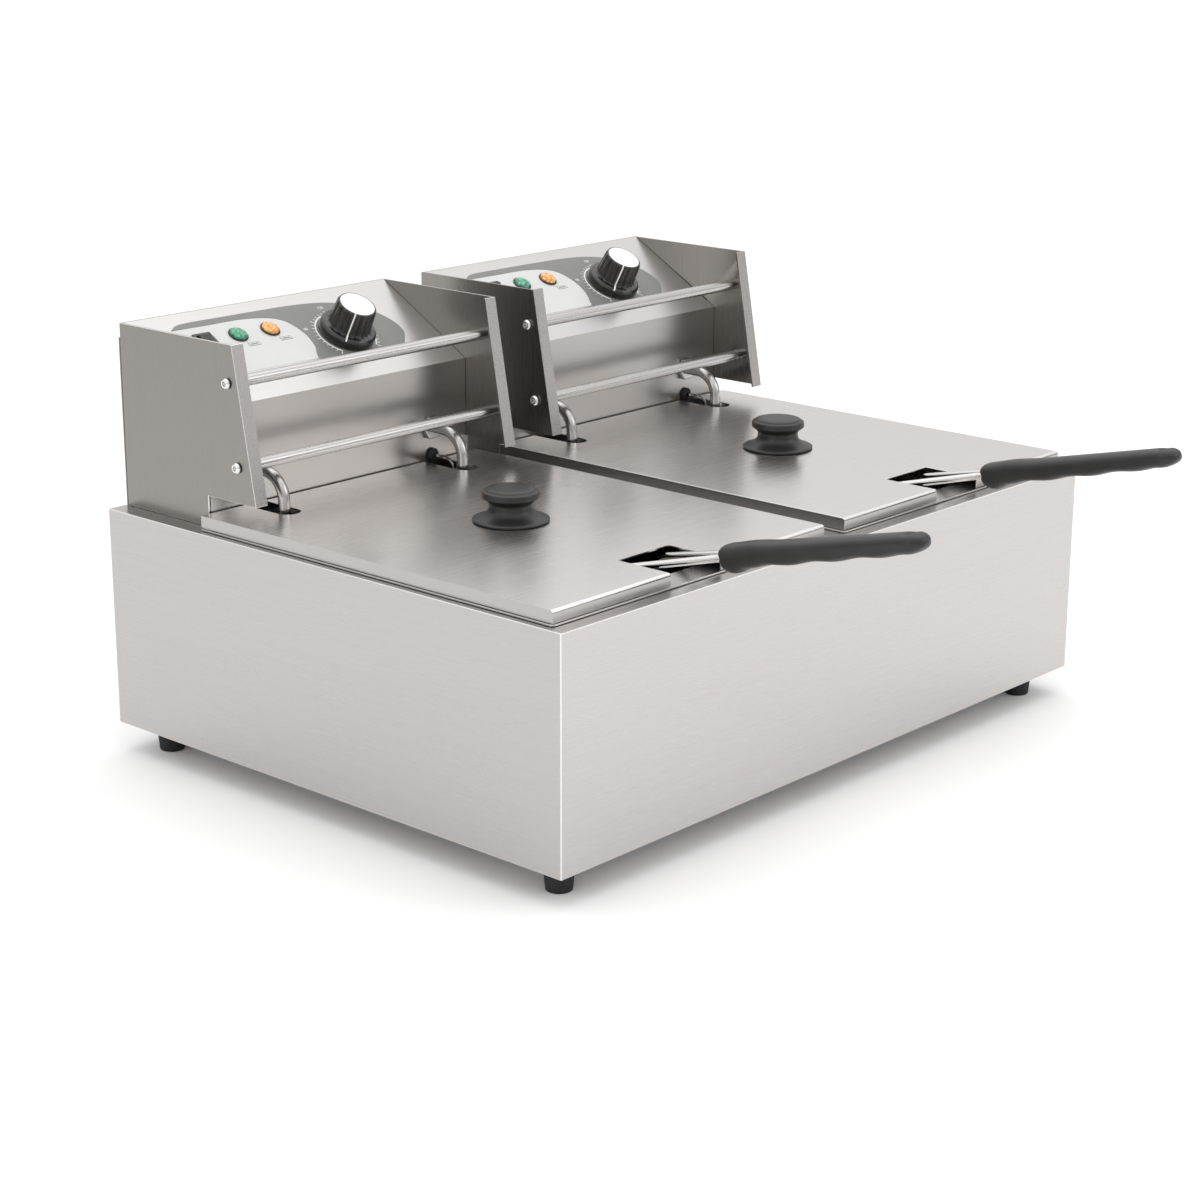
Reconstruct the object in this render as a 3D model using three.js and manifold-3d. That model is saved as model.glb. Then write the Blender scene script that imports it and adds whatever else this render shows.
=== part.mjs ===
// Countertop twin electric fryer: two oil tanks in one sheet-metal casing, each with its own
// lift-off heating head, lid and frying basket.
//
// Millimetres. +Z up, the user stands on the -Y side, +X to the user's right.
// The floor is z = 0. At the end the whole object is moved sideways so that its origin is
// the centre of its footprint on the floor.

import * as THREE from 'three';
import { mergeVertices } from 'three/addons/utils/BufferGeometryUtils.js';
import Module from 'manifold-3d';

const wasm = await Module();
wasm.setup();

// ---------------------------------------------------------------- driving dimensions

// Clearances
const gap = 0.3; // between faces that rest on each other
const slip = 0.4; // around pins, shafts and plugs in their holes

// Casing
const casingWidth = 550;
const casingDepth = 418;
const casingHeight = 153;
const casingSheet = 1.2;
const footHeight = 20;
const footInset = 25;
const footTopRadius = 10.5;
const footBottomRadius = 8.5;
const footStudRadius = 3;
const footStudLength = 7;
const basePlateLift = 1; // base plate above the casing's lower edge
const ventCount = 5;
const ventLength = 60;
const ventWidth = 6;
const ventPitch = 16;

// Two equal units side by side on the deck
const deckSideEdge = 5; // deck left bare outside each tank's rim
const deckFrontEdge = 11; // deck left bare in front of the rims
const unitGap = 20; // between the two rims

// Tank: it fills the deck's cut-out up to its rim
const tankAboveBase = 10.8; // tank bottom above the base plate
const tankHeadClearance = 15; // tank's rear wall to the head's lower front
const tankWall = 1.2;
const tankCorner = 20;
const rimWidth = 19;
const rimRearWidth = 14;
const rimThickness = 1.2;
const deckClearance = 1.5; // around the tank in the casing's cut-out

// Lid
const lidOverhang = -1; // lid edge past the tank's rim
const lidHeight = 8.2;
const lidSheet = 1;
const lidLipRadius = 2; // outside of the front fold
const lidNotchWidth = 48; // open front notch for the basket handle
const lidNotchDepth = 43;
const lidSlotWidth = 17; // open rear slots for the heater tubes
const lidSlotDepth = 42;

// Lid knob
const lidKnobBaseRadius = 25.5;
const lidKnobWaistRadius = 15;
const lidKnobTopRadius = 19;
const lidKnobHeight = 22;
const lidKnobStudRadius = 3;

// Head: two side plates, a bent fascia, a back cover and a floor
const headSideInset = 9.5; // from the rim's side edge
const headRearEdge = 3.3; // from the casing's rear wall
const headDepth = 85.7; // vertical lower front to back
const headHeight = 125.7;
const panelTopStrip = 2.7; // flat strip behind the sloped panel
const panelBendHeight = 78.4; // bend between sloped panel and lower front, above the deck
const headSheet = 1.5;
const wingClearance = 21.5; // lower edge of the plates' front wings above the deck
const wingBottomReach = 47.8; // forward of the lower front
const wingTopReach = 29;
const wingFlange = 10;
const fasciaRearLip = 18; // depth of the lip folded down behind the panel
const backCoverDrop = 10.1; // its top edge below the head's top
const backCoverSheet = 1.2;

// Rack rods across the front of the head
const rodRadius = 4;
const rodPlaces = [
  { name: 'upper', reach: 23.8, height: 100 }, // reach is forward of the lower front
  { name: 'lower', reach: 31, height: 45.4 },
];
const rodScrewRadius = 2;
const rodScrewDepth = 12;
const rodScrewHeadRadius = 3.7;
const rodScrewHeadHeight = 2.6;
const rodScrewSocketRadius = 1.7;

// Heating element
const heaterRadius = 4;
const heaterSideClearance = 28; // each leg's centre to the tank's side
const heaterLegClearance = 17; // each leg's centre to the tank's rear wall
const heaterExitHeight = 34; // above the deck
const heaterExitBend = 18;
const heaterFootBend = 13;
const heaterAboveFloor = 14;
const heaterFrontClearance = 44; // serpentine's front turns to the tank's front wall
const heaterTurnRearClearance = 38; // its rear turns to the legs
const heaterRuns = 6; // lengthwise runs of the serpentine
const heaterInsideLength = 22; // behind the fascia
const heaterFlangeRadius = 9;
const heaterFlangeThickness = 4;

// Thermostat, its capillary and bulb
const thermostatRadius = 20;
const thermostatDepth = 26;
const shaftRadius = 3;
const shaftLength = 20;
const shaftTipClearance = 2; // in the knob's bore
const capillaryRadius = 1.25;
const capillarySideClearance = 27; // to the tank's side
const capillaryHeight = 13.5; // above the deck, where it leaves the fascia
const capillaryLegClearance = 7; // to the tank's rear wall
const capillaryBend = 8;
const bulbRadius = 3;
const bulbLength = 90;
const bulbAboveHeater = 9;
const capillaryTail = 34; // from the capillary's drop to the bulb
const grommetRadius = 5;
const grommetHoleRadius = 3.6;

// Controls on the sloped panel, measured from the panel's middle: across and up the slope
const knobAcross = 41;
const knobUp = -1.5;
const knobSkirtRadius = 20.5;
const knobSkirtHeight = 8;
const knobBodyRadius = 15.5;
const knobTopRadius = 14;
const knobHeight = 27;
const knobStandoff = 1;
const lampUp = 16.5;
const lampPlaces = [
  { name: 'green', across: -43.5, color: 0x12a56a },
  { name: 'amber', across: -15, color: 0xf0952a },
];
const lampLensRadius = 6.3;
const lampBodyRadius = 5;
const lampProud = 4;
const lampDepth = 24;
const switchAcross = -72;
const switchUp = 13;
const switchWidth = 15;
const switchLength = 21;
const switchFlange = 1.5;
const switchWall = 2;
const switchDepth = 20;
const rockerPocketDepth = 9;
const rockerTilt = 8; // degrees, off position
const rockerProud = 3.5;
const rockerEndClearance = 1.1; // room to rock inside the pocket

// Cable gland on the back cover
const glandInset = 14.5; // from the head's left side
const glandHeight = 9;
const glandFlangeRadius = 8;
const glandProud = 9;
const glandBoreRadius = 3.6;
const glandShankRadius = 5.5;

// Basket
const basketSideClearance = 15; // to the tank's side
const basketFrontClearance = 31; // to the tank's front wall
const basketRearClearance = 26; // to the heater's legs
const basketBelowDeck = 8;
const basketAboveHeater = 8;
const basketWall = 2;
const basketCorner = 16;
const basketHookWidth = 60;
const basketHookReach = 12;
const basketHookDrop = 14;

// Basket handle
const armRadius = 2.5;
const armSpread = 18.5;
const armRootSpread = 7;
const armBend = 9;
const armRunDown = 55;
const handleStartHeight = 3; // above the deck, where the arms leave the front wall
const handleSlope = 14; // degrees
const gripStartClearance = 9; // in front of the casing
const gripLength = 153;
const gripWidth = 22;
const gripThickness = 17;
const gripRound = 5;
const gripFingerCount = 4;
const gripFingerRelief = 1.6;
const gripArmDepth = 60;

// ---------------------------------------------------------------- derived places

const radians = THREE.MathUtils.degToRad;
const deck = footHeight + casingHeight;
const baseBottom = footHeight + basePlateLift;
const baseTop = baseBottom + casingSheet;
const rimHalfWidth = (casingWidth - 2 * deckSideEdge - unitGap) / 4;
const unitPitch = 2 * rimHalfWidth + unitGap;
const headBackY = casingDepth / 2 - headRearEdge;
const headFrontY = headBackY - headDepth;
const panelTopY = headBackY - panelTopStrip;
const backCoverHeight = headHeight - backCoverDrop; // above the deck
const wingBottomY = headFrontY - wingBottomReach;
const wingTopY = headFrontY - wingTopReach;
const headWidth = 2 * (rimHalfWidth - headSideInset);
const glandAcross = glandInset - headWidth / 2;
const rimFrontY = deckFrontEdge - casingDepth / 2;
const tankWidth = 2 * (rimHalfWidth - rimWidth);
const tankFrontY = rimFrontY + rimWidth;
const tankRearY = headFrontY - tankHeadClearance;
const rimRearY = tankRearY + rimRearWidth;
const rimBottom = deck + gap;
const rimTop = rimBottom + rimThickness;
const tankBottom = baseTop + tankAboveBase;
const tankFloor = tankBottom + tankWall;
const lidHalfWidth = rimHalfWidth + lidOverhang;
const lidFrontY = rimFrontY - lidOverhang;
const lidRearY = rimRearY + lidOverhang;
const lidBottom = rimTop + gap;
const lidTop = lidBottom + lidHeight;
const lidCentreY = (lidFrontY + lidRearY) / 2;
const headBottom = deck + gap;
const headTop = deck + headHeight;
const bendHeight = deck + panelBendHeight;
const panelRun = panelTopY - headFrontY;
const panelRise = headTop - bendHeight;
const panelLength = Math.hypot(panelRun, panelRise);
const panelAngle = Math.atan2(panelRise, panelRun);
const plateInner = headWidth / 2 - headSheet;
const fasciaHalf = plateInner - gap;
const heaterCentre = tankFloor + heaterAboveFloor;
const heaterSpread = tankWidth / 2 - heaterSideClearance;
const heaterLegY = tankRearY - heaterLegClearance;
const heaterFrontY = tankFrontY + heaterFrontClearance;
const heaterTurnRearY = heaterLegY - heaterTurnRearClearance;
const capillaryX = tankWidth / 2 - capillarySideClearance;
const capillaryLegY = tankRearY - capillaryLegClearance;
const basketWidth = tankWidth - 2 * basketSideClearance;
const basketFrontY = tankFrontY + basketFrontClearance;
const basketRearY = heaterLegY - basketRearClearance;
const basketBottom = heaterCentre + heaterRadius + basketAboveHeater;
const basketTop = deck - basketBelowDeck;
const gripStartY = -casingDepth / 2 - gripStartClearance;

// ---------------------------------------------------------------- geometry helpers

// Closed, merged three.js geometry to a solid for cutting and joining.
function toSolid(geometry) {
  const plain = geometry.clone();
  for (const name of Object.keys(plain.attributes)) {
    if (name !== 'position') plain.deleteAttribute(name);
  }
  const merged = mergeVertices(plain, 1e-4);
  const source = merged.index.array;
  const triangles = [];
  for (let i = 0; i < source.length; i += 3) {
    const [a, b, c] = [source[i], source[i + 1], source[i + 2]];
    if (a !== b && b !== c && c !== a) triangles.push(a, b, c);
  }
  return new wasm.Manifold(new wasm.Mesh({
    numProp: 3,
    vertProperties: new Float32Array(merged.attributes.position.array),
    triVerts: new Uint32Array(triangles),
  }));
}

function toGeometry(solid) {
  const mesh = solid.getMesh();
  const geometry = new THREE.BufferGeometry();
  geometry.setAttribute('position', new THREE.BufferAttribute(new Float32Array(mesh.vertProperties), 3));
  geometry.setIndex(new THREE.BufferAttribute(new Uint32Array(mesh.triVerts), 1));
  geometry.computeVertexNormals();
  return geometry;
}

// Joins the first list and cuts the second from it.
function shape(joined, cuts = []) {
  let result = toSolid(joined[0]);
  for (const piece of joined.slice(1)) result = result.add(toSolid(piece));
  for (const cut of cuts) result = result.subtract(toSolid(cut));
  return toGeometry(result);
}

function block([x0, x1], [y0, y1], [z0, z1]) {
  const geometry = new THREE.BoxGeometry(x1 - x0, y1 - y0, z1 - z0);
  geometry.translate((x0 + x1) / 2, (y0 + y1) / 2, (z0 + z1) / 2);
  return geometry;
}

// An outline in the YZ plane, extruded from x0 to x1.
function extrudeAcross(outline, [x0, x1]) {
  const profile = new THREE.Shape(outline.map(([y, z]) => new THREE.Vector2(y, z)));
  const geometry = new THREE.ExtrudeGeometry(profile, { depth: x1 - x0, bevelEnabled: false });
  const turn = new THREE.Matrix4().makeBasis(
    new THREE.Vector3(0, 1, 0),
    new THREE.Vector3(0, 0, 1),
    new THREE.Vector3(1, 0, 0),
  );
  geometry.applyMatrix4(turn);
  geometry.translate(x0, 0, 0);
  return geometry;
}

// A rectangle with round corners in plan, extruded from z0 to z1.
function roundedBlock([x0, x1], [y0, y1], [z0, z1], radius, steps = 4) {
  const r = Math.min(radius, (x1 - x0) / 2, (y1 - y0) / 2);
  const plan = new THREE.Shape();
  plan.moveTo(x0 + r, y0);
  plan.lineTo(x1 - r, y0);
  plan.absarc(x1 - r, y0 + r, r, -Math.PI / 2, 0, false);
  plan.lineTo(x1, y1 - r);
  plan.absarc(x1 - r, y1 - r, r, 0, Math.PI / 2, false);
  plan.lineTo(x0 + r, y1);
  plan.absarc(x0 + r, y1 - r, r, Math.PI / 2, Math.PI, false);
  plan.lineTo(x0, y0 + r);
  plan.absarc(x0 + r, y0 + r, r, Math.PI, Math.PI * 1.5, false);
  const geometry = new THREE.ExtrudeGeometry(plan, {
    depth: z1 - z0,
    bevelEnabled: false,
    curveSegments: steps,
  });
  geometry.translate(0, 0, z0);
  return geometry;
}

// A profile of [radius, height] points turned about the Z axis.
function turned(profile, segments = 24) {
  const points = profile.map(([r, h]) => new THREE.Vector2(r, h));
  const geometry = new THREE.LatheGeometry(points, segments);
  geometry.rotateX(Math.PI / 2);
  return geometry;
}

function pin(radius, [z0, z1], segments = 16) {
  const geometry = new THREE.CylinderGeometry(radius, radius, z1 - z0, segments);
  geometry.rotateX(Math.PI / 2);
  geometry.translate(0, 0, (z0 + z1) / 2);
  return geometry;
}

// A pin along X or Y.
function pinAlong(axis, radius, [from, to], [a, b], segments = 16) {
  const geometry = pin(radius, [from, to], segments);
  if (axis === 'x') {
    geometry.rotateY(Math.PI / 2);
    geometry.translate(0, a, b);
  } else {
    geometry.rotateX(-Math.PI / 2);
    geometry.translate(a, 0, b);
  }
  return geometry;
}

// A route of straight runs and round bends through corner points. Each straight run is one
// step and each bend a few, so a swept tube has rings only where it needs them.
class BentRoute extends THREE.Curve {
  constructor(corners, bendSteps = 5) {
    super();
    this.stations = [];
    const last = corners.length - 1;
    corners.forEach(({ at, bend = 0 }, i) => {
      if (i === 0 || i === last || bend === 0) {
        const other = corners[i === 0 ? 1 : i - 1].at;
        const along = i === 0 ? other.clone().sub(at) : at.clone().sub(other);
        this.stations.push({ point: at.clone(), tangent: along.normalize() });
        return;
      }
      const arriving = at.clone().sub(corners[i - 1].at).normalize();
      const leaving = corners[i + 1].at.clone().sub(at).normalize();
      const angle = arriving.angleTo(leaving);
      const setback = bend * Math.tan(angle / 2);
      const start = at.clone().addScaledVector(arriving, -setback);
      const inward = leaving.clone().addScaledVector(arriving, -leaving.dot(arriving)).normalize();
      const centre = start.clone().addScaledVector(inward, bend);
      for (let k = 0; k <= bendSteps; k += 1) {
        const turn = (angle * k) / bendSteps;
        const point = centre.clone()
          .addScaledVector(inward, -bend * Math.cos(turn))
          .addScaledVector(arriving, bend * Math.sin(turn));
        const tangent = arriving.clone().multiplyScalar(Math.cos(turn))
          .addScaledVector(inward, Math.sin(turn));
        const previous = this.stations[this.stations.length - 1];
        if (previous.point.distanceTo(point) > 1e-3) this.stations.push({ point, tangent });
      }
    });
  }

  get steps() {
    return this.stations.length - 1;
  }

  getPoint(t, target = new THREE.Vector3()) {
    return target.copy(this.stations[Math.round(t * this.steps)].point);
  }

  getPointAt(t, target) {
    return this.getPoint(t, target);
  }

  getTangentAt(t, target = new THREE.Vector3()) {
    return target.copy(this.stations[Math.round(t * this.steps)].tangent);
  }
}

// A round tube or wire swept along a route of corners.
function swept(corners, radius, sides = 8, bendSteps = 5) {
  const route = new BentRoute(corners, bendSteps);
  const section = new THREE.Shape();
  for (let i = 0; i < sides; i += 1) {
    const angle = ((i + 0.5) / sides) * Math.PI * 2;
    const [x, y] = [radius * Math.cos(angle), radius * Math.sin(angle)];
    if (i === 0) section.moveTo(x, y);
    else section.lineTo(x, y);
  }
  section.closePath();
  return new THREE.ExtrudeGeometry(section, {
    steps: route.steps,
    extrudePath: route,
    bevelEnabled: false,
  });
}

const corner = (x, y, z, bend = 0) => ({ at: new THREE.Vector3(x, y, z), bend });

// ---------------------------------------------------------------- materials

const steel = { color: 0xc4c0bb, roughness: 0.38, metalness: 1 };
const brightSteel = { color: 0xd8d6d2, roughness: 0.18, metalness: 1 };
const darkPlastic = { color: 0x3a3b3a, roughness: 0.55, metalness: 0 };
const blackPlastic = { color: 0x121212, roughness: 0.3, metalness: 0 };
const rubber = { color: 0x17181a, roughness: 0.8, metalness: 0 };

function part(name, geometry, finish) {
  const mesh = new THREE.Mesh(geometry, new THREE.MeshStandardMaterial(finish));
  mesh.name = name;
  return mesh;
}

// ---------------------------------------------------------------- casing

const footSpots = [];
for (const [row, y] of [['front', -casingDepth / 2 + footInset], ['rear', casingDepth / 2 - footInset]]) {
  for (const [side, x] of [['left', -casingWidth / 2 + footInset], ['right', casingWidth / 2 - footInset]]) {
    footSpots.push({ name: `foot_${row}_${side}`, x, y });
  }
}

function casingShell() {
  const [halfX, halfY] = [casingWidth / 2, casingDepth / 2];
  const cuts = [block(
    [-halfX + casingSheet, halfX - casingSheet],
    [-halfY + casingSheet, halfY - casingSheet],
    [footHeight - 1, deck - casingSheet],
  )];
  for (const side of [-1, 1]) {
    const middle = (side * unitPitch) / 2;
    const reach = tankWidth / 2 + deckClearance;
    cuts.push(block(
      [middle - reach, middle + reach],
      [tankFrontY - deckClearance, tankRearY + deckClearance],
      [deck - 2 * casingSheet, deck + 1],
    ));
  }
  return shape([block([-halfX, halfX], [-halfY, halfY], [footHeight, deck])], cuts);
}

function casingBase() {
  const halfX = casingWidth / 2 - casingSheet - gap;
  const halfY = casingDepth / 2 - casingSheet - gap;
  const through = [baseBottom - 1, baseTop + 1];
  const cuts = footSpots.map(({ x, y }) => {
    const hole = pin(footStudRadius + slip, through, 12);
    hole.translate(x, y, 0);
    return hole;
  });
  for (const side of [-1, 1]) {
    for (let i = 0; i < ventCount; i += 1) {
      const middle = (side * unitPitch) / 2;
      const y = (i - (ventCount - 1) / 2) * ventPitch;
      cuts.push(block(
        [middle - ventLength / 2, middle + ventLength / 2],
        [y - ventWidth / 2, y + ventWidth / 2],
        through,
      ));
    }
  }
  return shape([block([-halfX, halfX], [-halfY, halfY], [baseBottom, baseTop])], cuts);
}

function foot() {
  const top = baseBottom - gap;
  return shape([turned([
    [0, 0],
    [footBottomRadius - 1, 0],
    [footBottomRadius, 1],
    [footTopRadius, top],
    [footStudRadius, top],
    [footStudRadius, top + footStudLength],
    [0, top + footStudLength],
  ], 20)]);
}

// ---------------------------------------------------------------- tank

function tank() {
  const half = tankWidth / 2;
  const body = roundedBlock([-half, half], [tankFrontY, tankRearY], [tankBottom, rimTop], tankCorner);
  const rim = roundedBlock(
    [-rimHalfWidth, rimHalfWidth],
    [rimFrontY, rimRearY],
    [rimBottom, rimTop],
    3,
    2,
  );
  const hollow = roundedBlock(
    [-half + tankWall, half - tankWall],
    [tankFrontY + tankWall, tankRearY - tankWall],
    [tankFloor, rimTop + 1],
    tankCorner - tankWall,
  );
  return shape([body, rim], [hollow]);
}

// ---------------------------------------------------------------- lid and its knob

// Side view of a sheet folded down at the front: flat top, quarter bend, short skirt.
function lidSection(offset) {
  const radius = lidLipRadius - offset;
  const front = lidFrontY + offset;
  const top = lidTop - offset;
  const section = [[lidRearY + offset * 2, lidBottom - offset * 2]];
  section.push([lidRearY + offset * 2, top]);
  for (let i = 0; i <= 3; i += 1) {
    const angle = Math.PI / 2 + (i / 3) * (Math.PI / 2);
    section.push([
      front + radius + radius * Math.cos(angle),
      top - radius + radius * Math.sin(angle),
    ]);
  }
  section.push([front, lidBottom - offset * 2]);
  return section;
}

function lid() {
  const outside = extrudeAcross(lidSection(0), [-lidHalfWidth, lidHalfWidth]);
  const hollow = extrudeAcross(
    lidSection(lidSheet),
    [-lidHalfWidth + lidSheet, lidHalfWidth - lidSheet],
  );
  const height = [lidBottom - 1, lidTop + 1];
  const notch = block(
    [-lidNotchWidth / 2, lidNotchWidth / 2],
    [lidFrontY - 1, lidFrontY + lidNotchDepth],
    height,
  );
  const slots = [-heaterSpread, heaterSpread].map((x) => roundedBlock(
    [x - lidSlotWidth / 2, x + lidSlotWidth / 2],
    [lidRearY - lidSlotDepth, lidRearY + lidSlotWidth],
    height,
    lidSlotWidth / 2,
    5,
  ));
  const studHole = pin(lidKnobStudRadius + slip, height, 12);
  studHole.translate(0, lidCentreY, 0);
  return shape([outside], [hollow, notch, ...slots, studHole]);
}

function lidKnob() {
  const base = lidTop + gap;
  const neck = base + 5;
  const waistTop = base + 12;
  const flare = [];
  for (let i = 0; i <= 4; i += 1) {
    const t = i / 4;
    const radius = lidKnobWaistRadius + (lidKnobBaseRadius - lidKnobWaistRadius) * (1 - t) ** 2;
    flare.push([radius, base + 1.5 + (neck + 3 - base - 1.5) * t]);
  }
  const knob = turned([
    [0, lidBottom],
    [lidKnobStudRadius, lidBottom],
    [lidKnobStudRadius, base],
    [lidKnobBaseRadius, base],
    ...flare,
    [lidKnobWaistRadius, waistTop],
    [lidKnobTopRadius - 1.5, base + 14.5],
    [lidKnobTopRadius, base + 17],
    [lidKnobTopRadius - 1.5, base + lidKnobHeight - 2],
    [lidKnobTopRadius - 7, base + lidKnobHeight],
    [0, base + lidKnobHeight],
  ], 28);
  knob.translate(0, lidCentreY, 0);
  return shape([knob]);
}

// ---------------------------------------------------------------- basket and its handle

function basket() {
  const half = basketWidth / 2;
  const tub = roundedBlock(
    [-half, half],
    [basketFrontY, basketRearY],
    [basketBottom, basketTop],
    basketCorner,
    3,
  );
  const hollow = roundedBlock(
    [-half + basketWall, half - basketWall],
    [basketFrontY + basketWall, basketRearY - basketWall],
    [basketBottom + basketWall, basketTop + 1],
    basketCorner - basketWall,
    3,
  );
  const hookTop = block(
    [-basketHookWidth / 2, basketHookWidth / 2],
    [basketRearY - basketWall, basketRearY + basketHookReach],
    [basketTop - basketWall, basketTop],
  );
  const hookLip = block(
    [-basketHookWidth / 2, basketHookWidth / 2],
    [basketRearY + basketHookReach - basketWall, basketRearY + basketHookReach],
    [basketTop - basketHookDrop, basketTop],
  );
  return shape([tub, hookTop, hookLip], [hollow]);
}

const handleStartZ = deck + handleStartHeight;
const armWallY = basketFrontY - gap - armRadius;
const gripRootZ = handleStartZ + (armWallY - gripStartY) * Math.tan(radians(handleSlope));

// One wire: up the basket's front wall, forward to the grip, and back along the other side.
function handleArms() {
  const armEndY = gripStartY - gripArmDepth * Math.cos(radians(handleSlope));
  const rise = (y) => handleStartZ + (armWallY - y) * Math.tan(radians(handleSlope));
  const low = handleStartZ - armRunDown;
  return shape([swept([
    corner(-armRootSpread, armEndY, rise(armEndY)),
    corner(-armRootSpread, gripStartY, rise(gripStartY), 20),
    corner(-armSpread, armWallY, handleStartZ, armBend),
    corner(-armSpread, armWallY, low, armBend),
    corner(armSpread, armWallY, low, armBend),
    corner(armSpread, armWallY, handleStartZ, armBend),
    corner(armRootSpread, gripStartY, rise(gripStartY), 20),
    corner(armRootSpread, armEndY, rise(armEndY)),
  ], armRadius, 8, 3)]);
}

// Side outline of the grip along its own axis, finger hollows underneath.
function gripOutline() {
  const half = gripThickness / 2 - gripRound;
  const outline = new THREE.Shape();
  const [start, end] = [gripRound, gripLength - gripRound];
  outline.moveTo(start, -half - 2);
  outline.lineTo(start + 14, -half - 2);
  const reach = end - 10 - (start + 22);
  const steps = gripFingerCount * 3;
  for (let i = 0; i <= steps; i += 1) {
    const t = i / steps;
    const wave = 0.5 - 0.5 * Math.cos(t * gripFingerCount * Math.PI * 2);
    outline.lineTo(start + 22 + reach * t, -half + gripFingerRelief * wave);
  }
  outline.lineTo(end, -half + 2);
  outline.lineTo(end, half - 1);
  outline.lineTo(end - 12, half);
  outline.lineTo(start + 22, half);
  outline.lineTo(start, half - 3);
  outline.closePath();
  return outline;
}

function grip() {
  const solidGrip = new THREE.ExtrudeGeometry(gripOutline(), {
    depth: gripWidth - 2 * gripRound,
    bevelEnabled: true,
    bevelSize: gripRound,
    bevelThickness: gripRound,
    bevelSegments: 2,
  });
  const turn = new THREE.Matrix4().makeBasis(
    new THREE.Vector3(0, -1, 0),
    new THREE.Vector3(0, 0, 1),
    new THREE.Vector3(-1, 0, 0),
  );
  solidGrip.applyMatrix4(turn);
  solidGrip.translate(gripWidth / 2 - gripRound, 0, 0);
  const bores = [-armRootSpread, armRootSpread].map((x) => pinAlong(
    'y',
    armRadius + slip,
    [-gripArmDepth - 1, 20],
    [x, 0],
    12,
  ));
  return shape([solidGrip], bores);
}

// ---------------------------------------------------------------- head sheet metal

function sidePlate(side) {
  const outer = (side * headWidth) / 2;
  const inner = side * plateInner;
  const thickness = [Math.min(outer, inner), Math.max(outer, inner)];
  const wingZ = deck + wingClearance;
  const plate = extrudeAcross([
    [headBackY, headBottom],
    [headBackY, headTop],
    [wingTopY, headTop],
    [wingBottomY, wingZ],
    [headFrontY, wingZ],
    [headFrontY, headBottom],
  ], thickness);
  const flangeInner = side * (headWidth / 2 - wingFlange);
  const flange = extrudeAcross([
    [wingTopY, headTop],
    [wingBottomY, wingZ],
    [wingBottomY + headSheet, wingZ],
    [wingTopY + headSheet, headTop],
  ], [Math.min(outer, flangeInner), Math.max(outer, flangeInner)]);
  const holes = rodPlaces.map(({ reach, height }) => pinAlong(
    'x',
    rodScrewRadius + slip,
    [thickness[0] - 1, thickness[1] + 1],
    [headFrontY - reach, deck + height],
    12,
  ));
  return shape([plate, flange], holes);
}

// Moves geometry from the sloped panel's frame (across, up the slope, out) into the unit's.
const panelFrame = new THREE.Matrix4()
  .makeTranslation(0, (headFrontY + panelTopY) / 2, (bendHeight + headTop) / 2)
  .multiply(new THREE.Matrix4().makeRotationX(panelAngle));

function onPanel(geometry, across, up) {
  geometry.translate(across, up, 0);
  geometry.applyMatrix4(panelFrame);
  return geometry;
}

function fascia() {
  const inset = headSheet / Math.cos(panelAngle / 2);
  const fall = headSheet / Math.cos(panelAngle);
  const sheetBackY = headBackY - gap;
  const sheet = extrudeAcross([
    [headFrontY, headBottom],
    [headFrontY, bendHeight],
    [panelTopY, headTop],
    [sheetBackY, headTop],
    [sheetBackY, headTop - fasciaRearLip],
    [sheetBackY - headSheet, headTop - fasciaRearLip],
    [sheetBackY - headSheet, headTop - fall],
    [panelTopY + headSheet * Math.tan(panelAngle / 2), headTop - fall],
    [headFrontY + headSheet, bendHeight + inset * Math.sin(panelAngle / 2) - headSheet * 0.25],
    [headFrontY + headSheet, headBottom],
  ], [-fasciaHalf, fasciaHalf]);
  const through = [-2 * headSheet, headSheet];
  const cuts = [
    onPanel(pin(shaftRadius + slip, through, 16), knobAcross, knobUp),
    onPanel(block(
      [-switchWidth / 2 + 1, switchWidth / 2 - 1],
      [-switchLength / 2 + 1, switchLength / 2 - 1],
      through,
    ), switchAcross, switchUp),
    ...lampPlaces.map(({ across }) => onPanel(
      pin(lampBodyRadius + slip, through, 16),
      across,
      lampUp,
    )),
    ...[-heaterSpread, heaterSpread].map((x) => pinAlong(
      'y',
      heaterRadius + slip,
      [headFrontY - 1, headFrontY + 2 * headSheet],
      [x, deck + heaterExitHeight],
      16,
    )),
    pinAlong(
      'y',
      grommetHoleRadius + slip,
      [headFrontY - 1, headFrontY + 2 * headSheet],
      [capillaryX, deck + capillaryHeight],
      16,
    ),
  ];
  return shape([sheet], cuts);
}

function backCover() {
  const half = headWidth / 2;
  const inner = headBackY + gap;
  const outer = inner + backCoverSheet;
  const sheet = block([-half, half], [inner, outer], [headBottom, deck + backCoverHeight]);
  const hole = pinAlong(
    'y',
    glandShankRadius + slip,
    [inner - 1, outer + 1],
    [glandAcross, deck + glandHeight],
    16,
  );
  return shape([sheet], [hole]);
}

function headFloor() {
  return shape([block(
    [-fasciaHalf, fasciaHalf],
    [headFrontY + headSheet + gap, headBackY - 2 * gap - headSheet],
    [headBottom, headBottom + headSheet],
  )]);
}

// ---------------------------------------------------------------- rack rods and screws

function rod({ reach, height }) {
  const y = headFrontY - reach;
  const end = plateInner - gap;
  const bores = [-1, 1].map((side) => pinAlong(
    'x',
    rodScrewRadius + slip,
    [Math.min(side * (end - rodScrewDepth - 1), side * (end + 1)),
      Math.max(side * (end - rodScrewDepth - 1), side * (end + 1))],
    [y, deck + height],
    12,
  ));
  return shape([pinAlong('x', rodRadius, [-end, end], [y, deck + height], 20)], bores);
}

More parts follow.
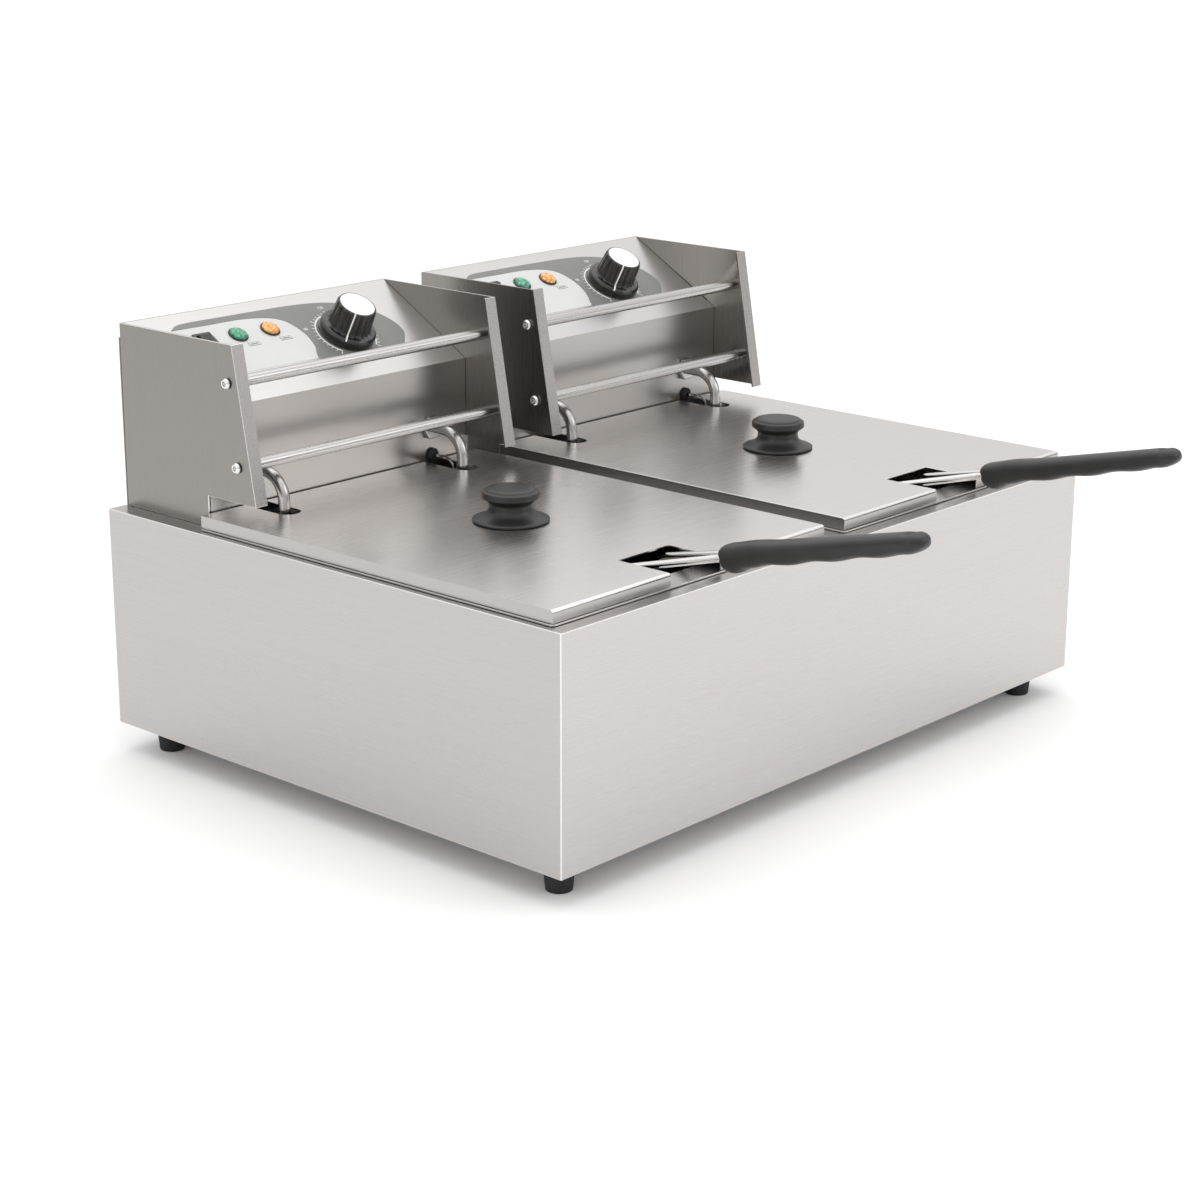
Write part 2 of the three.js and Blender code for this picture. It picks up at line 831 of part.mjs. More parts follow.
function rodScrew(side, { reach, height }) {
  const screw = turned([
    [0, -rodScrewDepth],
    [rodScrewRadius, -rodScrewDepth],
    [rodScrewRadius, headSheet + gap],
    [rodScrewHeadRadius, headSheet + gap],
    [rodScrewHeadRadius, headSheet + gap + rodScrewHeadHeight * 0.4],
    [rodScrewHeadRadius * 0.6, headSheet + gap + rodScrewHeadHeight],
    [0, headSheet + gap + rodScrewHeadHeight],
  ], 16);
  const socket = pin(rodScrewSocketRadius, [headSheet + gap + 1, headSheet + 2 * rodScrewHeadHeight], 6);
  const geometry = shape([screw], [socket]);
  geometry.rotateY((side * Math.PI) / 2);
  geometry.translate(side * plateInner, headFrontY - reach, deck + height);
  return geometry;
}

// ---------------------------------------------------------------- heating and control

function heatingElement() {
  const runPitch = (2 * heaterSpread) / (heaterRuns - 1);
  const turnBend = runPitch / 2;
  const exitZ = deck + heaterExitHeight;
  const insideY = headFrontY + heaterInsideLength;
  const corners = [
    corner(-heaterSpread, insideY, exitZ),
    corner(-heaterSpread, heaterLegY, exitZ, heaterExitBend),
    corner(-heaterSpread, heaterLegY, heaterCentre, heaterFootBend),
  ];
  for (let run = 0; run < heaterRuns; run += 1) {
    const x = -heaterSpread + run * runPitch;
    const forward = run % 2 === 0;
    if (run > 0) {
      corners.push(corner(x, forward ? heaterTurnRearY : heaterFrontY, heaterCentre, turnBend));
    }
    if (run < heaterRuns - 1) {
      corners.push(corner(x, forward ? heaterFrontY : heaterTurnRearY, heaterCentre, turnBend));
    }
  }
  corners.push(
    corner(heaterSpread, heaterLegY, heaterCentre, heaterFootBend),
    corner(heaterSpread, heaterLegY, exitZ, heaterExitBend),
    corner(heaterSpread, insideY, exitZ),
  );
  const flanges = [-heaterSpread, heaterSpread].map((x) => pinAlong(
    'y',
    heaterFlangeRadius,
    [headFrontY - gap - heaterFlangeThickness, headFrontY - gap],
    [x, exitZ],
    6,
  ));
  return shape([swept(corners, heaterRadius, 8, 4), ...flanges]);
}

function thermostat() {
  const rear = -headSheet - gap;
  const body = pin(thermostatRadius, [rear - thermostatDepth, rear], 20);
  const shaft = pin(shaftRadius, [rear - 1, shaftLength], 16);
  return shape([body, shaft]);
}

// Out of the head, down behind the heater leg, then along the tank's rear wall to the bulb.
function capillary() {
  const exitZ = deck + capillaryHeight;
  const bulbZ = heaterCentre + heaterRadius + bulbAboveHeater;
  const insideY = headFrontY + 30;
  const bulbStartX = capillaryX - capillaryTail;
  const tube = swept([
    corner(capillaryX - 20, insideY, exitZ + 20),
    corner(capillaryX, insideY, exitZ + 20, capillaryBend),
    corner(capillaryX, insideY, exitZ, capillaryBend),
    corner(capillaryX, capillaryLegY, exitZ, capillaryBend),
    corner(capillaryX, capillaryLegY, bulbZ, capillaryBend),
    corner(bulbStartX - 2, capillaryLegY, bulbZ),
  ], capillaryRadius, 6, 3);
  const bulb = pinAlong('x', bulbRadius, [bulbStartX - bulbLength, bulbStartX], [capillaryLegY, bulbZ], 12);
  return shape([tube, bulb]);
}

function grommet() {
  const ring = turned([
    [capillaryRadius + slip, -3],
    [grommetHoleRadius, -3],
    [grommetHoleRadius, 0],
    [grommetRadius, gap],
    [grommetRadius, 2],
    [grommetRadius - 2, 3.5],
    [capillaryRadius + slip, 3.5],
    [capillaryRadius + slip, -3],
  ], 16);
  ring.rotateX(Math.PI / 2);
  ring.translate(capillaryX, headFrontY, deck + capillaryHeight);
  return shape([ring]);
}

function thermostatKnob() {
  const bore = shaftLength + shaftTipClearance;
  return shape([turned([
    [0, bore],
    [shaftRadius + slip, bore],
    [shaftRadius + slip, knobStandoff],
    [knobSkirtRadius - 1, knobStandoff],
    [knobSkirtRadius, knobStandoff + 1],
    [knobSkirtRadius, knobSkirtHeight - 1.5],
    [knobSkirtRadius - 1.5, knobSkirtHeight],
    [knobBodyRadius, knobSkirtHeight + 0.5],
    [knobTopRadius, knobHeight - 1.5],
    [knobTopRadius - 1.5, knobHeight],
    [0, knobHeight],
  ], 32)]);
}

function lamp() {
  return shape([turned([
    [0, -lampDepth],
    [lampBodyRadius - 1, -lampDepth],
    [lampBodyRadius, -lampDepth + 2],
    [lampBodyRadius, gap],
    [lampLensRadius + 1, gap],
    [lampLensRadius + 1, 1.2],
    [lampLensRadius, 1.6],
    [lampLensRadius - 1, lampProud - 1],
    [lampLensRadius - 3, lampProud],
    [0, lampProud],
  ], 20)]);
}

function switchHousing() {
  const flange = block(
    [-switchWidth / 2, switchWidth / 2],
    [-switchLength / 2, switchLength / 2],
    [gap, gap + switchFlange],
  );
  const inset = 1 + gap;
  const body = block(
    [-switchWidth / 2 + inset, switchWidth / 2 - inset],
    [-switchLength / 2 + inset, switchLength / 2 - inset],
    [-switchDepth, gap + switchFlange],
  );
  const pocket = block(
    [-switchWidth / 2 + inset + switchWall / 2, switchWidth / 2 - inset - switchWall / 2],
    [-switchLength / 2 + inset + switchWall / 2, switchLength / 2 - inset - switchWall / 2],
    [-rockerPocketDepth, gap + switchFlange + 1],
  );
  return shape([flange, body], [pocket]);
}

// The rocker's side view: flat-sided underneath, a shallow V on top, turned about its middle.
function rocker() {
  const halfLength = switchLength / 2 - 1 - gap - switchWall / 2 - rockerEndClearance;
  const halfWidth = switchWidth / 2 - 1 - gap - switchWall / 2 - gap;
  const outline = [
    [-halfLength, -1],
    [-halfLength + 2.5, -4.5],
    [halfLength - 2.5, -4.5],
    [halfLength, -1],
    [halfLength, rockerProud],
    [0, rockerProud - 1.2],
    [-halfLength, rockerProud],
  ];
  return shape([extrudeAcross(outline, [-halfWidth, halfWidth])]);
}

function cableGland() {
  const ring = turned([
    [glandBoreRadius, -backCoverSheet - 8],
    [glandShankRadius, -backCoverSheet - 8],
    [glandShankRadius, 0],
    [glandFlangeRadius, gap],
    [glandFlangeRadius, 3],
    [glandFlangeRadius - 1.5, 4],
    [glandBoreRadius + 1.5, glandProud],
    [glandBoreRadius, glandProud],
    [glandBoreRadius, -backCoverSheet - 8],
  ], 18);
  ring.rotateX(-Math.PI / 2);
  ring.translate(glandAcross, headBackY + gap + backCoverSheet, deck + glandHeight);
  return shape([ring]);
}

// ---------------------------------------------------------------- assembly

function unit(side) {
  const group = new THREE.Group();
  const add = (name, geometry, finish, parent = group) => {
    const mesh = part(`${side}_${name}`, geometry, finish);
    parent.add(mesh);
    return mesh;
  };

  add('tank', tank(), steel);
  add('lid', lid(), steel);
  add('lid_knob', lidKnob(), darkPlastic);
  add('basket', basket(), brightSteel);
  add('basket_handle_arms', handleArms(), brightSteel);
  const gripMesh = add('basket_grip', grip(), darkPlastic);
  gripMesh.position.set(0, gripStartY, gripRootZ);
  gripMesh.rotation.x = -radians(handleSlope);

  add('head_plate_left', sidePlate(-1), steel);
  add('head_plate_right', sidePlate(1), steel);
  add('head_fascia', fascia(), steel);
  add('head_back_cover', backCover(), steel);
  add('head_floor', headFloor(), steel);
  for (const place of rodPlaces) {
    add(`rack_rod_${place.name}`, rod(place), brightSteel);
    add(`rod_screw_${place.name}_left`, rodScrew(-1, place), brightSteel);
    add(`rod_screw_${place.name}_right`, rodScrew(1, place), brightSteel);
  }
  add('heating_element', heatingElement(), brightSteel);
  add('thermostat_capillary', capillary(), brightSteel);
  add('capillary_grommet', grommet(), rubber);
  add('cable_gland', cableGland(), blackPlastic);

  const panel = new THREE.Group();
  panel.position.set(0, (headFrontY + panelTopY) / 2, (bendHeight + headTop) / 2);
  panel.rotation.x = panelAngle;
  group.add(panel);
  add('thermostat', thermostat(), brightSteel, panel).position.set(knobAcross, knobUp, 0);
  add('thermostat_knob', thermostatKnob(), blackPlastic, panel).position.set(knobAcross, knobUp, 0);
  for (const { name, across, color } of lampPlaces) {
    const finish = { color, roughness: 0.15, metalness: 0 };
    add(`lamp_${name}`, lamp(), finish, panel).position.set(across, lampUp, 0);
  }
  add('switch_housing', switchHousing(), blackPlastic, panel).position.set(switchAcross, switchUp, 0);
  const rockerMesh = add('switch_rocker', rocker(), blackPlastic, panel);
  rockerMesh.position.set(switchAcross, switchUp, 0);
  rockerMesh.rotation.x = radians(rockerTilt);
  return group;
}

const fryer = new THREE.Group();
fryer.add(part('casing_shell', casingShell(), steel));
fryer.add(part('casing_base', casingBase(), steel));
for (const { name, x, y } of footSpots) {
  const mesh = part(name, foot(), rubber);
  mesh.position.set(x, y, 0);
  fryer.add(mesh);
}
for (const [side, direction] of [['left', -1], ['right', 1]]) {
  const group = unit(side);
  group.position.x = (direction * unitPitch) / 2;
  fryer.add(group);
}

// The origin is the centre of the footprint, on the floor.
const footprint = new THREE.Box3().setFromObject(fryer, true);
const middle = footprint.getCenter(new THREE.Vector3());
fryer.position.set(-middle.x, -middle.y, -footprint.min.z);

export default fryer;
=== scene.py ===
"""Looks for a twin countertop fryer: brushed sheet steel, bright tubes and wires, moulded handles.

Everything is in metres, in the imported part's own frame: +Z up, the user on the -Y side.
Sizes given in millimetres are multiplied by MM where they are used.
"""

import bmesh
import bpy
import math
import numpy as np
from mathutils import Matrix, Vector


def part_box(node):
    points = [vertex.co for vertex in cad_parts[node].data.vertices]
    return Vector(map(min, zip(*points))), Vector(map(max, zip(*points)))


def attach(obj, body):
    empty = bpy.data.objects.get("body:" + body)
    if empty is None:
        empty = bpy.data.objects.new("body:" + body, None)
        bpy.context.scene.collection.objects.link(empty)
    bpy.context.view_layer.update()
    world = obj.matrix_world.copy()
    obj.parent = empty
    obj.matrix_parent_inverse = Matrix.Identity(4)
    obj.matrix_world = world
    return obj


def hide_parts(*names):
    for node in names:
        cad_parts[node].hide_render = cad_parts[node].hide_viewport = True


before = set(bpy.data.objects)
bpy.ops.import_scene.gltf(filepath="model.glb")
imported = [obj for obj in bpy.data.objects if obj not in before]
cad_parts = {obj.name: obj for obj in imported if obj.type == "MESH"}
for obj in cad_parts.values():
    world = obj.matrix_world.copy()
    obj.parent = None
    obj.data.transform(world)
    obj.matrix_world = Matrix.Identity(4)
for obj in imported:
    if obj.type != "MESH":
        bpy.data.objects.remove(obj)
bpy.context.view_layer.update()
MM = 0.001
TURN = 2 * math.pi
SHARP_ANGLE = math.radians(38)


# ------------------------------------------------------------------ places taken from the frame

casing_low, casing_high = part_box("casing_shell")
MIDDLE_Y = (casing_low.y + casing_high.y) / 2
DECK = casing_high.z
UNITS = {
    side: (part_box(f"{side}_tank")[0].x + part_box(f"{side}_tank")[1].x) / 2
    for side in ("left", "right")
}

# Sizes shared with the part, in millimetres, with Y counted from the casing's middle
PANEL_FRONT, PANEL_BACK = 120.0, 203.0
PANEL_BEND, PANEL_TOP = 78.4, 125.7
PANEL_ANGLE = math.atan2(PANEL_TOP - PANEL_BEND, PANEL_BACK - PANEL_FRONT)
HEATER_SPREAD = 83.0
HANDLE_SLOPE = math.radians(14)


def in_unit(points, side):
    """Points in mm (across from the unit's middle, back from the casing's middle, up from the deck)
    become places in the frame: scaled to metres and shifted by the unit's centre and the deck."""
    points = np.asarray(points, float)
    return points * MM + np.array([UNITS[side], MIDDLE_Y, DECK])


def unit_box(node, side):
    """A node's low and high corners in the unit's own millimetres."""
    centre = np.array([UNITS[side], MIDDLE_Y, DECK])
    return [(np.array(corner) - centre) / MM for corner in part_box(node)]


def on_panel(points, side):
    """Points in mm (across, up the slope, out of the panel) about the panel's middle: the slope
    direction is turned about X by the panel's angle, then shifted to the panel's middle."""
    points = np.asarray(points, float)
    across, up, out = points[..., 0], points[..., 1], points[..., 2]
    c, s = math.cos(PANEL_ANGLE), math.sin(PANEL_ANGLE)
    y = (PANEL_FRONT + PANEL_BACK) / 2 + up * c - out * s
    z = (PANEL_BEND + PANEL_TOP) / 2 + up * s + out * c
    return in_unit(np.stack([across, y, z], -1), side)


# ------------------------------------------------------------------ meshes from arrays


def grid_faces(rows, cols, wrap_rows=False, wrap_cols=True, first=0):
    """Quads over a rows x cols grid of points, joined round where a direction wraps."""
    r = np.arange(rows if wrap_rows else rows - 1)
    c = np.arange(cols if wrap_cols else cols - 1)
    r, c = np.meshgrid(r, c, indexing="ij")
    r2, c2 = (r + 1) % rows, (c + 1) % cols
    quads = np.stack([r * cols + c, r * cols + c2, r2 * cols + c2, r2 * cols + c], -1)
    return (quads.reshape(-1, 4) + first).tolist()


def new_piece(name, points, faces, material, side_body, slot, stands_for=()):
    """A mesh object in the frame, smooth shaded, faces out, that rides on a body."""
    mesh = bpy.data.meshes.new(name)
    mesh.from_pydata(np.asarray(points, float).reshape(-1, 3).tolist(), [], faces)
    work = bmesh.new()
    work.from_mesh(mesh)
    bmesh.ops.remove_doubles(work, verts=work.verts, dist=1e-7)
    bmesh.ops.recalc_face_normals(work, faces=work.faces)
    work.to_mesh(mesh)
    work.free()
    mesh.shade_smooth()
    mesh.set_sharp_from_angle(angle=SHARP_ANGLE)
    mesh.materials.append(material)
    obj = bpy.data.objects.new(name, mesh)
    bpy.context.scene.collection.objects.link(obj)
    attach(obj, side_body)
    if stands_for:
        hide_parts(*stands_for)
    return obj


def turned_points(profile, sides=48):
    """A profile of (radius, height) carried round the height axis: x = r cos a, y = r sin a."""
    profile = np.asarray(profile, float)
    angle = np.arange(sides) / sides * TURN
    radius, height = profile[:, 0][:, None], profile[:, 1][:, None]
    return np.stack(
        [radius * np.cos(angle), radius * np.sin(angle), height + 0 * angle], -1
    )


def eased_profile(corners, radius=0.6, steps=4):
    """A (radius, height) outline with each inner corner rounded: a quadratic curve that leaves one
    edge and meets the next at the given distance from the corner."""
    corners = np.asarray(corners, float)
    out = [corners[0]]
    for before, here, after in zip(corners[:-2], corners[1:-1], corners[2:]):
        a, b = before - here, after - here
        reach = min(radius, np.linalg.norm(a) * 0.45, np.linalg.norm(b) * 0.45)
        a = here + a / max(np.linalg.norm(a), 1e-9) * reach
        b = here + b / max(np.linalg.norm(b), 1e-9) * reach
        t = np.linspace(0, 1, steps)[:, None]
        out.extend((1 - t) ** 2 * a + 2 * t * (1 - t) * here + t**2 * b)
    out.append(corners[-1])
    return np.array(out)


def bent_path(corners, bend_steps=8):
    """Corner points with a bend radius each: straight runs joined by true circular arcs."""
    points = [np.array(corners[0][:3], float)]
    for (before, here, after) in zip(corners[:-2], corners[1:-1], corners[2:]):
        p, q, r = (np.array(v[:3], float) for v in (before, here, after))
        u, v = (q - p) / np.linalg.norm(q - p), (r - q) / np.linalg.norm(r - q)
        angle = math.acos(max(-1.0, min(1.0, float(u @ v))))
        if angle < 1e-4 or here[3] == 0:
            points.append(q)
            continue
        inward = v - u * float(u @ v)
        inward /= np.linalg.norm(inward)
        start = q - u * here[3] * math.tan(angle / 2)
        turn = np.linspace(0, angle, bend_steps + 1)[:, None]
        points.extend(
            start + inward * here[3] * (1 - np.cos(turn)) + u * here[3] * np.sin(turn)
        )
    points.append(np.array(corners[-1][:3], float))
    path = np.array(points)
    apart = np.linalg.norm(np.diff(path, axis=0), axis=1) > 1e-4
    return path[np.concatenate([[True], apart])]


def tube_points(path, radius, sides=14, closed=False):
    """A circle carried along a path. Its first axis is the one before it with the part along the
    path taken away, so the circle never twists."""
    path = np.asarray(path, float)
    along = np.roll(path, -1, 0) - np.roll(path, 1, 0) if closed else np.gradient(path, axis=0)
    along /= np.linalg.norm(along, axis=1)[:, None]
    side = np.array([1.0, 0, 0]) if abs(along[0][0]) < 0.8 else np.array([0, 1.0, 0])
    axes = []
    for direction in along:
        side = side - direction * float(side @ direction)
        side /= np.linalg.norm(side)
        axes.append(side)
    first = np.array(axes)
    second = np.cross(along, first)
    angle = np.arange(sides) / sides * TURN
    c, s = np.cos(angle)[None, :, None], np.sin(angle)[None, :, None]
    ring = first[:, None] * c + second[:, None] * s
    return path[:, None] + ring * radius


class Gather:
    """Collects several grids of points, and the faces over them, into one mesh."""

    def __init__(self):
        self.points, self.faces, self.count = [], [], 0

    def add(self, points, wrap_rows=False, wrap_cols=True, capped=True):
        points = np.asarray(points, float)
        rows, cols = points.shape[:2]
        self.faces += grid_faces(rows, cols, wrap_rows, wrap_cols, self.count)
        if capped and not wrap_rows:
            self.faces.append([self.count + i for i in range(cols)][::-1])
            last = self.count + (rows - 1) * cols
            self.faces.append([last + i for i in range(cols)])
        self.points.append(points.reshape(-1, 3))
        self.count += rows * cols
        return self

    def all(self):
        return np.concatenate(self.points), self.faces


def faces_side(normals):
    """Faces that look left or right."""
    return np.abs(normals[:, 0]) > 0.7


def faces_front(normals):
    """Faces that look straight to the front or the back."""
    return np.abs(normals[:, 1]) > 0.9


def faces_upright(normals):
    """Faces that stand upright, whichever way they look."""
    return np.abs(normals[:, 2]) < 0.5


def softened(node, width, material, body, other=None, picked=faces_side, fold=None):
    """A copy of a sheet-metal node with its edges rounded by a narrow bevel. The faces that picked
    chooses by their normals can take another finish, with the grain running along them and a tone
    set darker or lighter than the rest as painted shade for how the light falls on them, and the
    bevels themselves can take a third, a pale painted highlight along the folds."""
    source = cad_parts[node]
    mesh = source.data.copy()
    work = bmesh.new()
    work.from_mesh(mesh)
    bmesh.ops.remove_doubles(work, verts=work.verts, dist=2e-6)
    bmesh.ops.dissolve_limit(
        work, angle_limit=math.radians(0.6), verts=work.verts, edges=work.edges
    )
    work.to_mesh(mesh)
    work.free()
    mesh.materials.clear()
    mesh.materials.append(material)
    if other:
        mesh.materials.append(other)
        normals = np.zeros(len(mesh.polygons) * 3)
        mesh.polygons.foreach_get("normal", normals)
        chosen = picked(normals.reshape(-1, 3))
        mesh.polygons.foreach_set("material_index", chosen.astype(np.int32))
    mesh.shade_smooth()
    mesh.set_sharp_from_angle(angle=SHARP_ANGLE)
    obj = bpy.data.objects.new(f"{node}_skin", mesh)
    bpy.context.scene.collection.objects.link(obj)
    bevel = obj.modifiers.new("edge", "BEVEL")
    bevel.width = width * MM
    bevel.segments = 2
    bevel.limit_method = "ANGLE"
    bevel.angle_limit = math.radians(40)
    bevel.use_clamp_overlap = True
    bevel.harden_normals = True
    if fold:
        mesh.materials.append(fold)
        bevel.material = len(mesh.materials) - 1
    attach(obj, body)
    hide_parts(node)
    return obj


# ------------------------------------------------------------------ finishes


class Finish:
    """A material under construction: its node tree and its Principled shader."""

    def __init__(self, name, color, metallic=0.0, roughness=0.4, coat=0.0):
        self.material = bpy.data.materials.new(name)
        self.material.use_nodes = True
        self.tree = self.material.node_tree
        self.shader = self.tree.nodes["Principled BSDF"]
        self.shader.inputs["Base Color"].default_value = (*color, 1)
        self.shader.inputs["Metallic"].default_value = metallic
        self.shader.inputs["Roughness"].default_value = roughness
        self.shader.inputs["Coat Weight"].default_value = coat
        self.shader.inputs["Coat Roughness"].default_value = 0.08
        self.coords = self.tree.nodes.new("ShaderNodeTexCoord")

    def noise(self, stretch, detail=3.0, rough=0.55):
        mapping = self.tree.nodes.new("ShaderNodeMapping")
        mapping.inputs["Scale"].default_value = stretch
        self.tree.links.new(self.coords.outputs["Object"], mapping.inputs["Vector"])
        noise = self.tree.nodes.new("ShaderNodeTexNoise")
        noise.inputs["Scale"].default_value = 1.0
        noise.inputs["Detail"].default_value = detail
        noise.inputs["Roughness"].default_value = rough
        self.tree.links.new(mapping.outputs["Vector"], noise.inputs["Vector"])
        return noise.outputs["Fac"]

    def ranged(self, source, low, high, socket, start=0.3, end=0.7):
        span = self.tree.nodes.new("ShaderNodeMapRange")
        span.inputs["From Min"].default_value = start
        span.inputs["From Max"].default_value = end
        span.inputs["To Min"].default_value = low
        span.inputs["To Max"].default_value = high
        self.tree.links.new(source, span.inputs["Value"])
        self.tree.links.new(span.outputs["Result"], self.shader.inputs[socket])

    def tinted(self, source, dark, light):
        ramp = self.tree.nodes.new("ShaderNodeValToRGB")
        ramp.color_ramp.elements[0].position = 0.3
        ramp.color_ramp.elements[0].color = (*dark, 1)
        ramp.color_ramp.elements[1].position = 0.7
        ramp.color_ramp.elements[1].color = (*light, 1)
        self.tree.links.new(source, ramp.inputs["Fac"])
        self.tree.links.new(ramp.outputs["Color"], self.shader.inputs["Base Color"])

    def bumped(self, source, strength, distance):
        bump = self.tree.nodes.new("ShaderNodeBump")
        bump.inputs["Strength"].default_value = strength
        bump.inputs["Distance"].default_value = distance
        self.tree.links.new(source, bump.inputs["Height"])
        self.tree.links.new(bump.outputs["Normal"], self.shader.inputs["Normal"])


def brushed(name, tone, grain="x", roughness=(0.26, 0.32), spread=0.01, relief=0.05):
    """Sheet steel brushed along one axis: fine streaks in tone, roughness and relief."""
    finish = Finish(name, tone, metallic=1.0)
    streaks = finish.noise(stretched(grain, 9.0, 3400.0), detail=2.0)
    bands = finish.noise(stretched(grain, 3.0, 420.0), detail=3.0)
    finish.tinted(
        bands, tuple(c * (1 - spread) for c in tone), tuple(c * (1 + spread) for c in tone)
    )
    finish.ranged(streaks, roughness[0], roughness[1], "Roughness")
    finish.bumped(streaks, relief, 0.00003)
    return finish.material


def stretched(grain, along, across):
    """A pattern's scale on each axis: coarse along the grain and fine across it."""
    return tuple(along if axis == grain else across for axis in "xyz")


def bright(name, tone, roughness):
    """Drawn and polished wire or tube: faint drawing lines and a soft cloudiness."""
    finish = Finish(name, tone, metallic=1.0)
    clouds = finish.noise((60, 60, 60), detail=4.0)
    finish.ranged(clouds, roughness * 0.9, roughness * 1.15, "Roughness")
    finish.bumped(finish.noise((900, 900, 900)), 0.012, 0.00001)
    return finish.material


def moulded(name, color, roughness, grain=1500.0, relief=0.25, coat=0.0, wear=0.2):
    """Moulded plastic or rubber: a fine spark-eroded grain and slightly worn tone."""
    finish = Finish(name, color, roughness=roughness, coat=coat)
    texture = finish.noise((grain, grain, grain), detail=3.0)
    worn = finish.noise((70, 70, 70), detail=5.0)
    finish.tinted(
        worn, tuple(c * (1 - wear) for c in color), tuple(min(1, c * (1 + wear)) for c in color)
    )
    finish.ranged(texture, roughness * 0.85, roughness * 1.15, "Roughness")
    finish.bumped(texture, relief, 0.00005)
    return finish.material


def lens_plastic(name, deep, pale):
    """A clear coloured lens: painted glints, small Voronoi spots in colour from deep to pale
    standing in for light off a faceted reflector, the same spots as a bump, and gloss.
    """
    finish = Finish(name, pale, roughness=0.12, coat=1.0)
    glint_cells = finish.tree.nodes.new("ShaderNodeTexVoronoi")
    glint_cells.inputs["Scale"].default_value = 520.0
    finish.tree.links.new(finish.coords.outputs["Object"], glint_cells.inputs["Vector"])
    # The spots' pale-to-deep colour is a painted glint.
    finish.tinted(glint_cells.outputs["Distance"], pale, deep)
    finish.bumped(glint_cells.outputs["Distance"], 0.25, 0.0004)
    return finish.material


casing_steel = brushed("casing_steel", (0.562, 0.535, 0.518), "x")
# Casing's left and right faces: the casing's steel painted darker as painted shade, with its grain
# along Y.
casing_side_shaded_steel = brushed("casing_side_shaded_steel", (0.502, 0.478, 0.463), "y")
# Bevels along the folds: steel painted pale with low roughness, a painted highlight along each
# edge.
fold_highlight_steel = brushed("fold_highlight_steel", (0.80, 0.78, 0.765), "z", (0.18, 0.24))
# Head plates' side faces and the back cover: the plates' steel painted darker, as painted shade;
# wing_steel below is the lit tone of the same steel for the plates' other faces.
shaded_side_steel = brushed("shaded_side_plate_steel", (0.280, 0.264, 0.248), "z")
wing_steel = brushed("wing_steel", (0.46, 0.44, 0.425), "z")
lid_steel = brushed("lid_steel", (0.80, 0.775, 0.757), "x", (0.23, 0.28), 0.006, 0.03)
# Lid skirts: the lid's steel painted darker on its upright faces, as painted shade.
lid_edge_shaded_steel = brushed("lid_edge_shaded_steel", (0.45, 0.433, 0.42), "y", (0.2, 0.26))
panel_steel = brushed("panel_steel", (0.57, 0.558, 0.546), "x", (0.28, 0.33))
# Fascia's front-facing faces: the panel's steel painted darker, as painted shade.
fascia_front_shaded_steel = brushed("fascia_front_shaded_steel", (0.43, 0.411, 0.396), "x", (0.28, 0.33))
tank_steel = brushed("tank_steel", (0.56, 0.545, 0.53), "z", (0.22, 0.34))
bright_steel = bright("bright_steel", (0.78, 0.77, 0.755), 0.12)
rod_steel = bright("rod_steel", (0.50, 0.487, 0.475), 0.26)
heater_steel = bright("heater_steel", (0.50, 0.487, 0.475), 0.24)
handle_plastic = moulded("handle_plastic", (0.0125, 0.0125, 0.0122), 0.38, relief=0.12)
knob_plastic = moulded("knob_black", (0.008, 0.008, 0.008), 0.24, relief=0.05, coat=0.35)
knob_cap_white = moulded("knob_cap_white", (0.84, 0.84, 0.83), 0.30, relief=0.03, wear=0.02)
foot_rubber = moulded("foot_rubber", (0.014, 0.014, 0.015), 0.75, grain=900.0)
panel_print = moulded("panel_print_grey", (0.19, 0.193, 0.178), 0.40, relief=0.02, wear=0.03)
panel_pale = moulded("panel_print_pale", (0.60, 0.607, 0.59), 0.36, relief=0.01, wear=0.01)
print_white = moulded("dial_print_white", (0.82, 0.82, 0.80), 0.5, relief=0.02, wear=0.02)
green_lens = lens_plastic("green_lens", (0.0, 0.11, 0.05), (0.02, 0.46, 0.24))
amber_lens = lens_plastic("amber_lens", (0.62, 0.17, 0.0), (1.0, 0.52, 0.10))


# ------------------------------------------------------------------ sheet metal


def painted(node, finish):
    """Gives a node that is kept as it is its own finish."""
    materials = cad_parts[node].data.materials
    materials.clear()
    materials.append(finish)


# The casing's side faces take painted shade, and its bevelled folds a painted highlight.
softened(
    "casing_shell", 1.1, casing_steel, "casing", casing_side_shaded_steel, fold=fold_highlight_steel
)
painted("casing_base", tank_steel)

for side in UNITS:
    softened(f"{side}_tank", 0.4, tank_steel, f"tank_{side}")
    # The lid's upright skirt faces take painted shade.
    softened(
        f"{side}_lid", 0.45, lid_steel, f"lid_{side}", lid_edge_shaded_steel, faces_upright
    )
    # Head plates: side faces in the painted-shade tone, other faces in the lit tone, bevels in the
    # painted highlight.
    for plate in ("left", "right"):
        softened(
            f"{side}_head_plate_{plate}", 0.45, wing_steel, f"head_{side}",
            shaded_side_steel, faces_side, fold_highlight_steel,
        )
    # Front-facing fascia faces take painted shade.
    softened(
        f"{side}_head_fascia", 0.5, panel_steel, f"head_{side}",
        fascia_front_shaded_steel, faces_front,
    )
    # The back cover takes the painted-shade tone all over.
    softened(f"{side}_head_back_cover", 0.4, shaded_side_steel, f"head_{side}")
    painted(f"{side}_head_floor", tank_steel)
    painted(f"{side}_thermostat", bright_steel)


# ------------------------------------------------------------------ feet

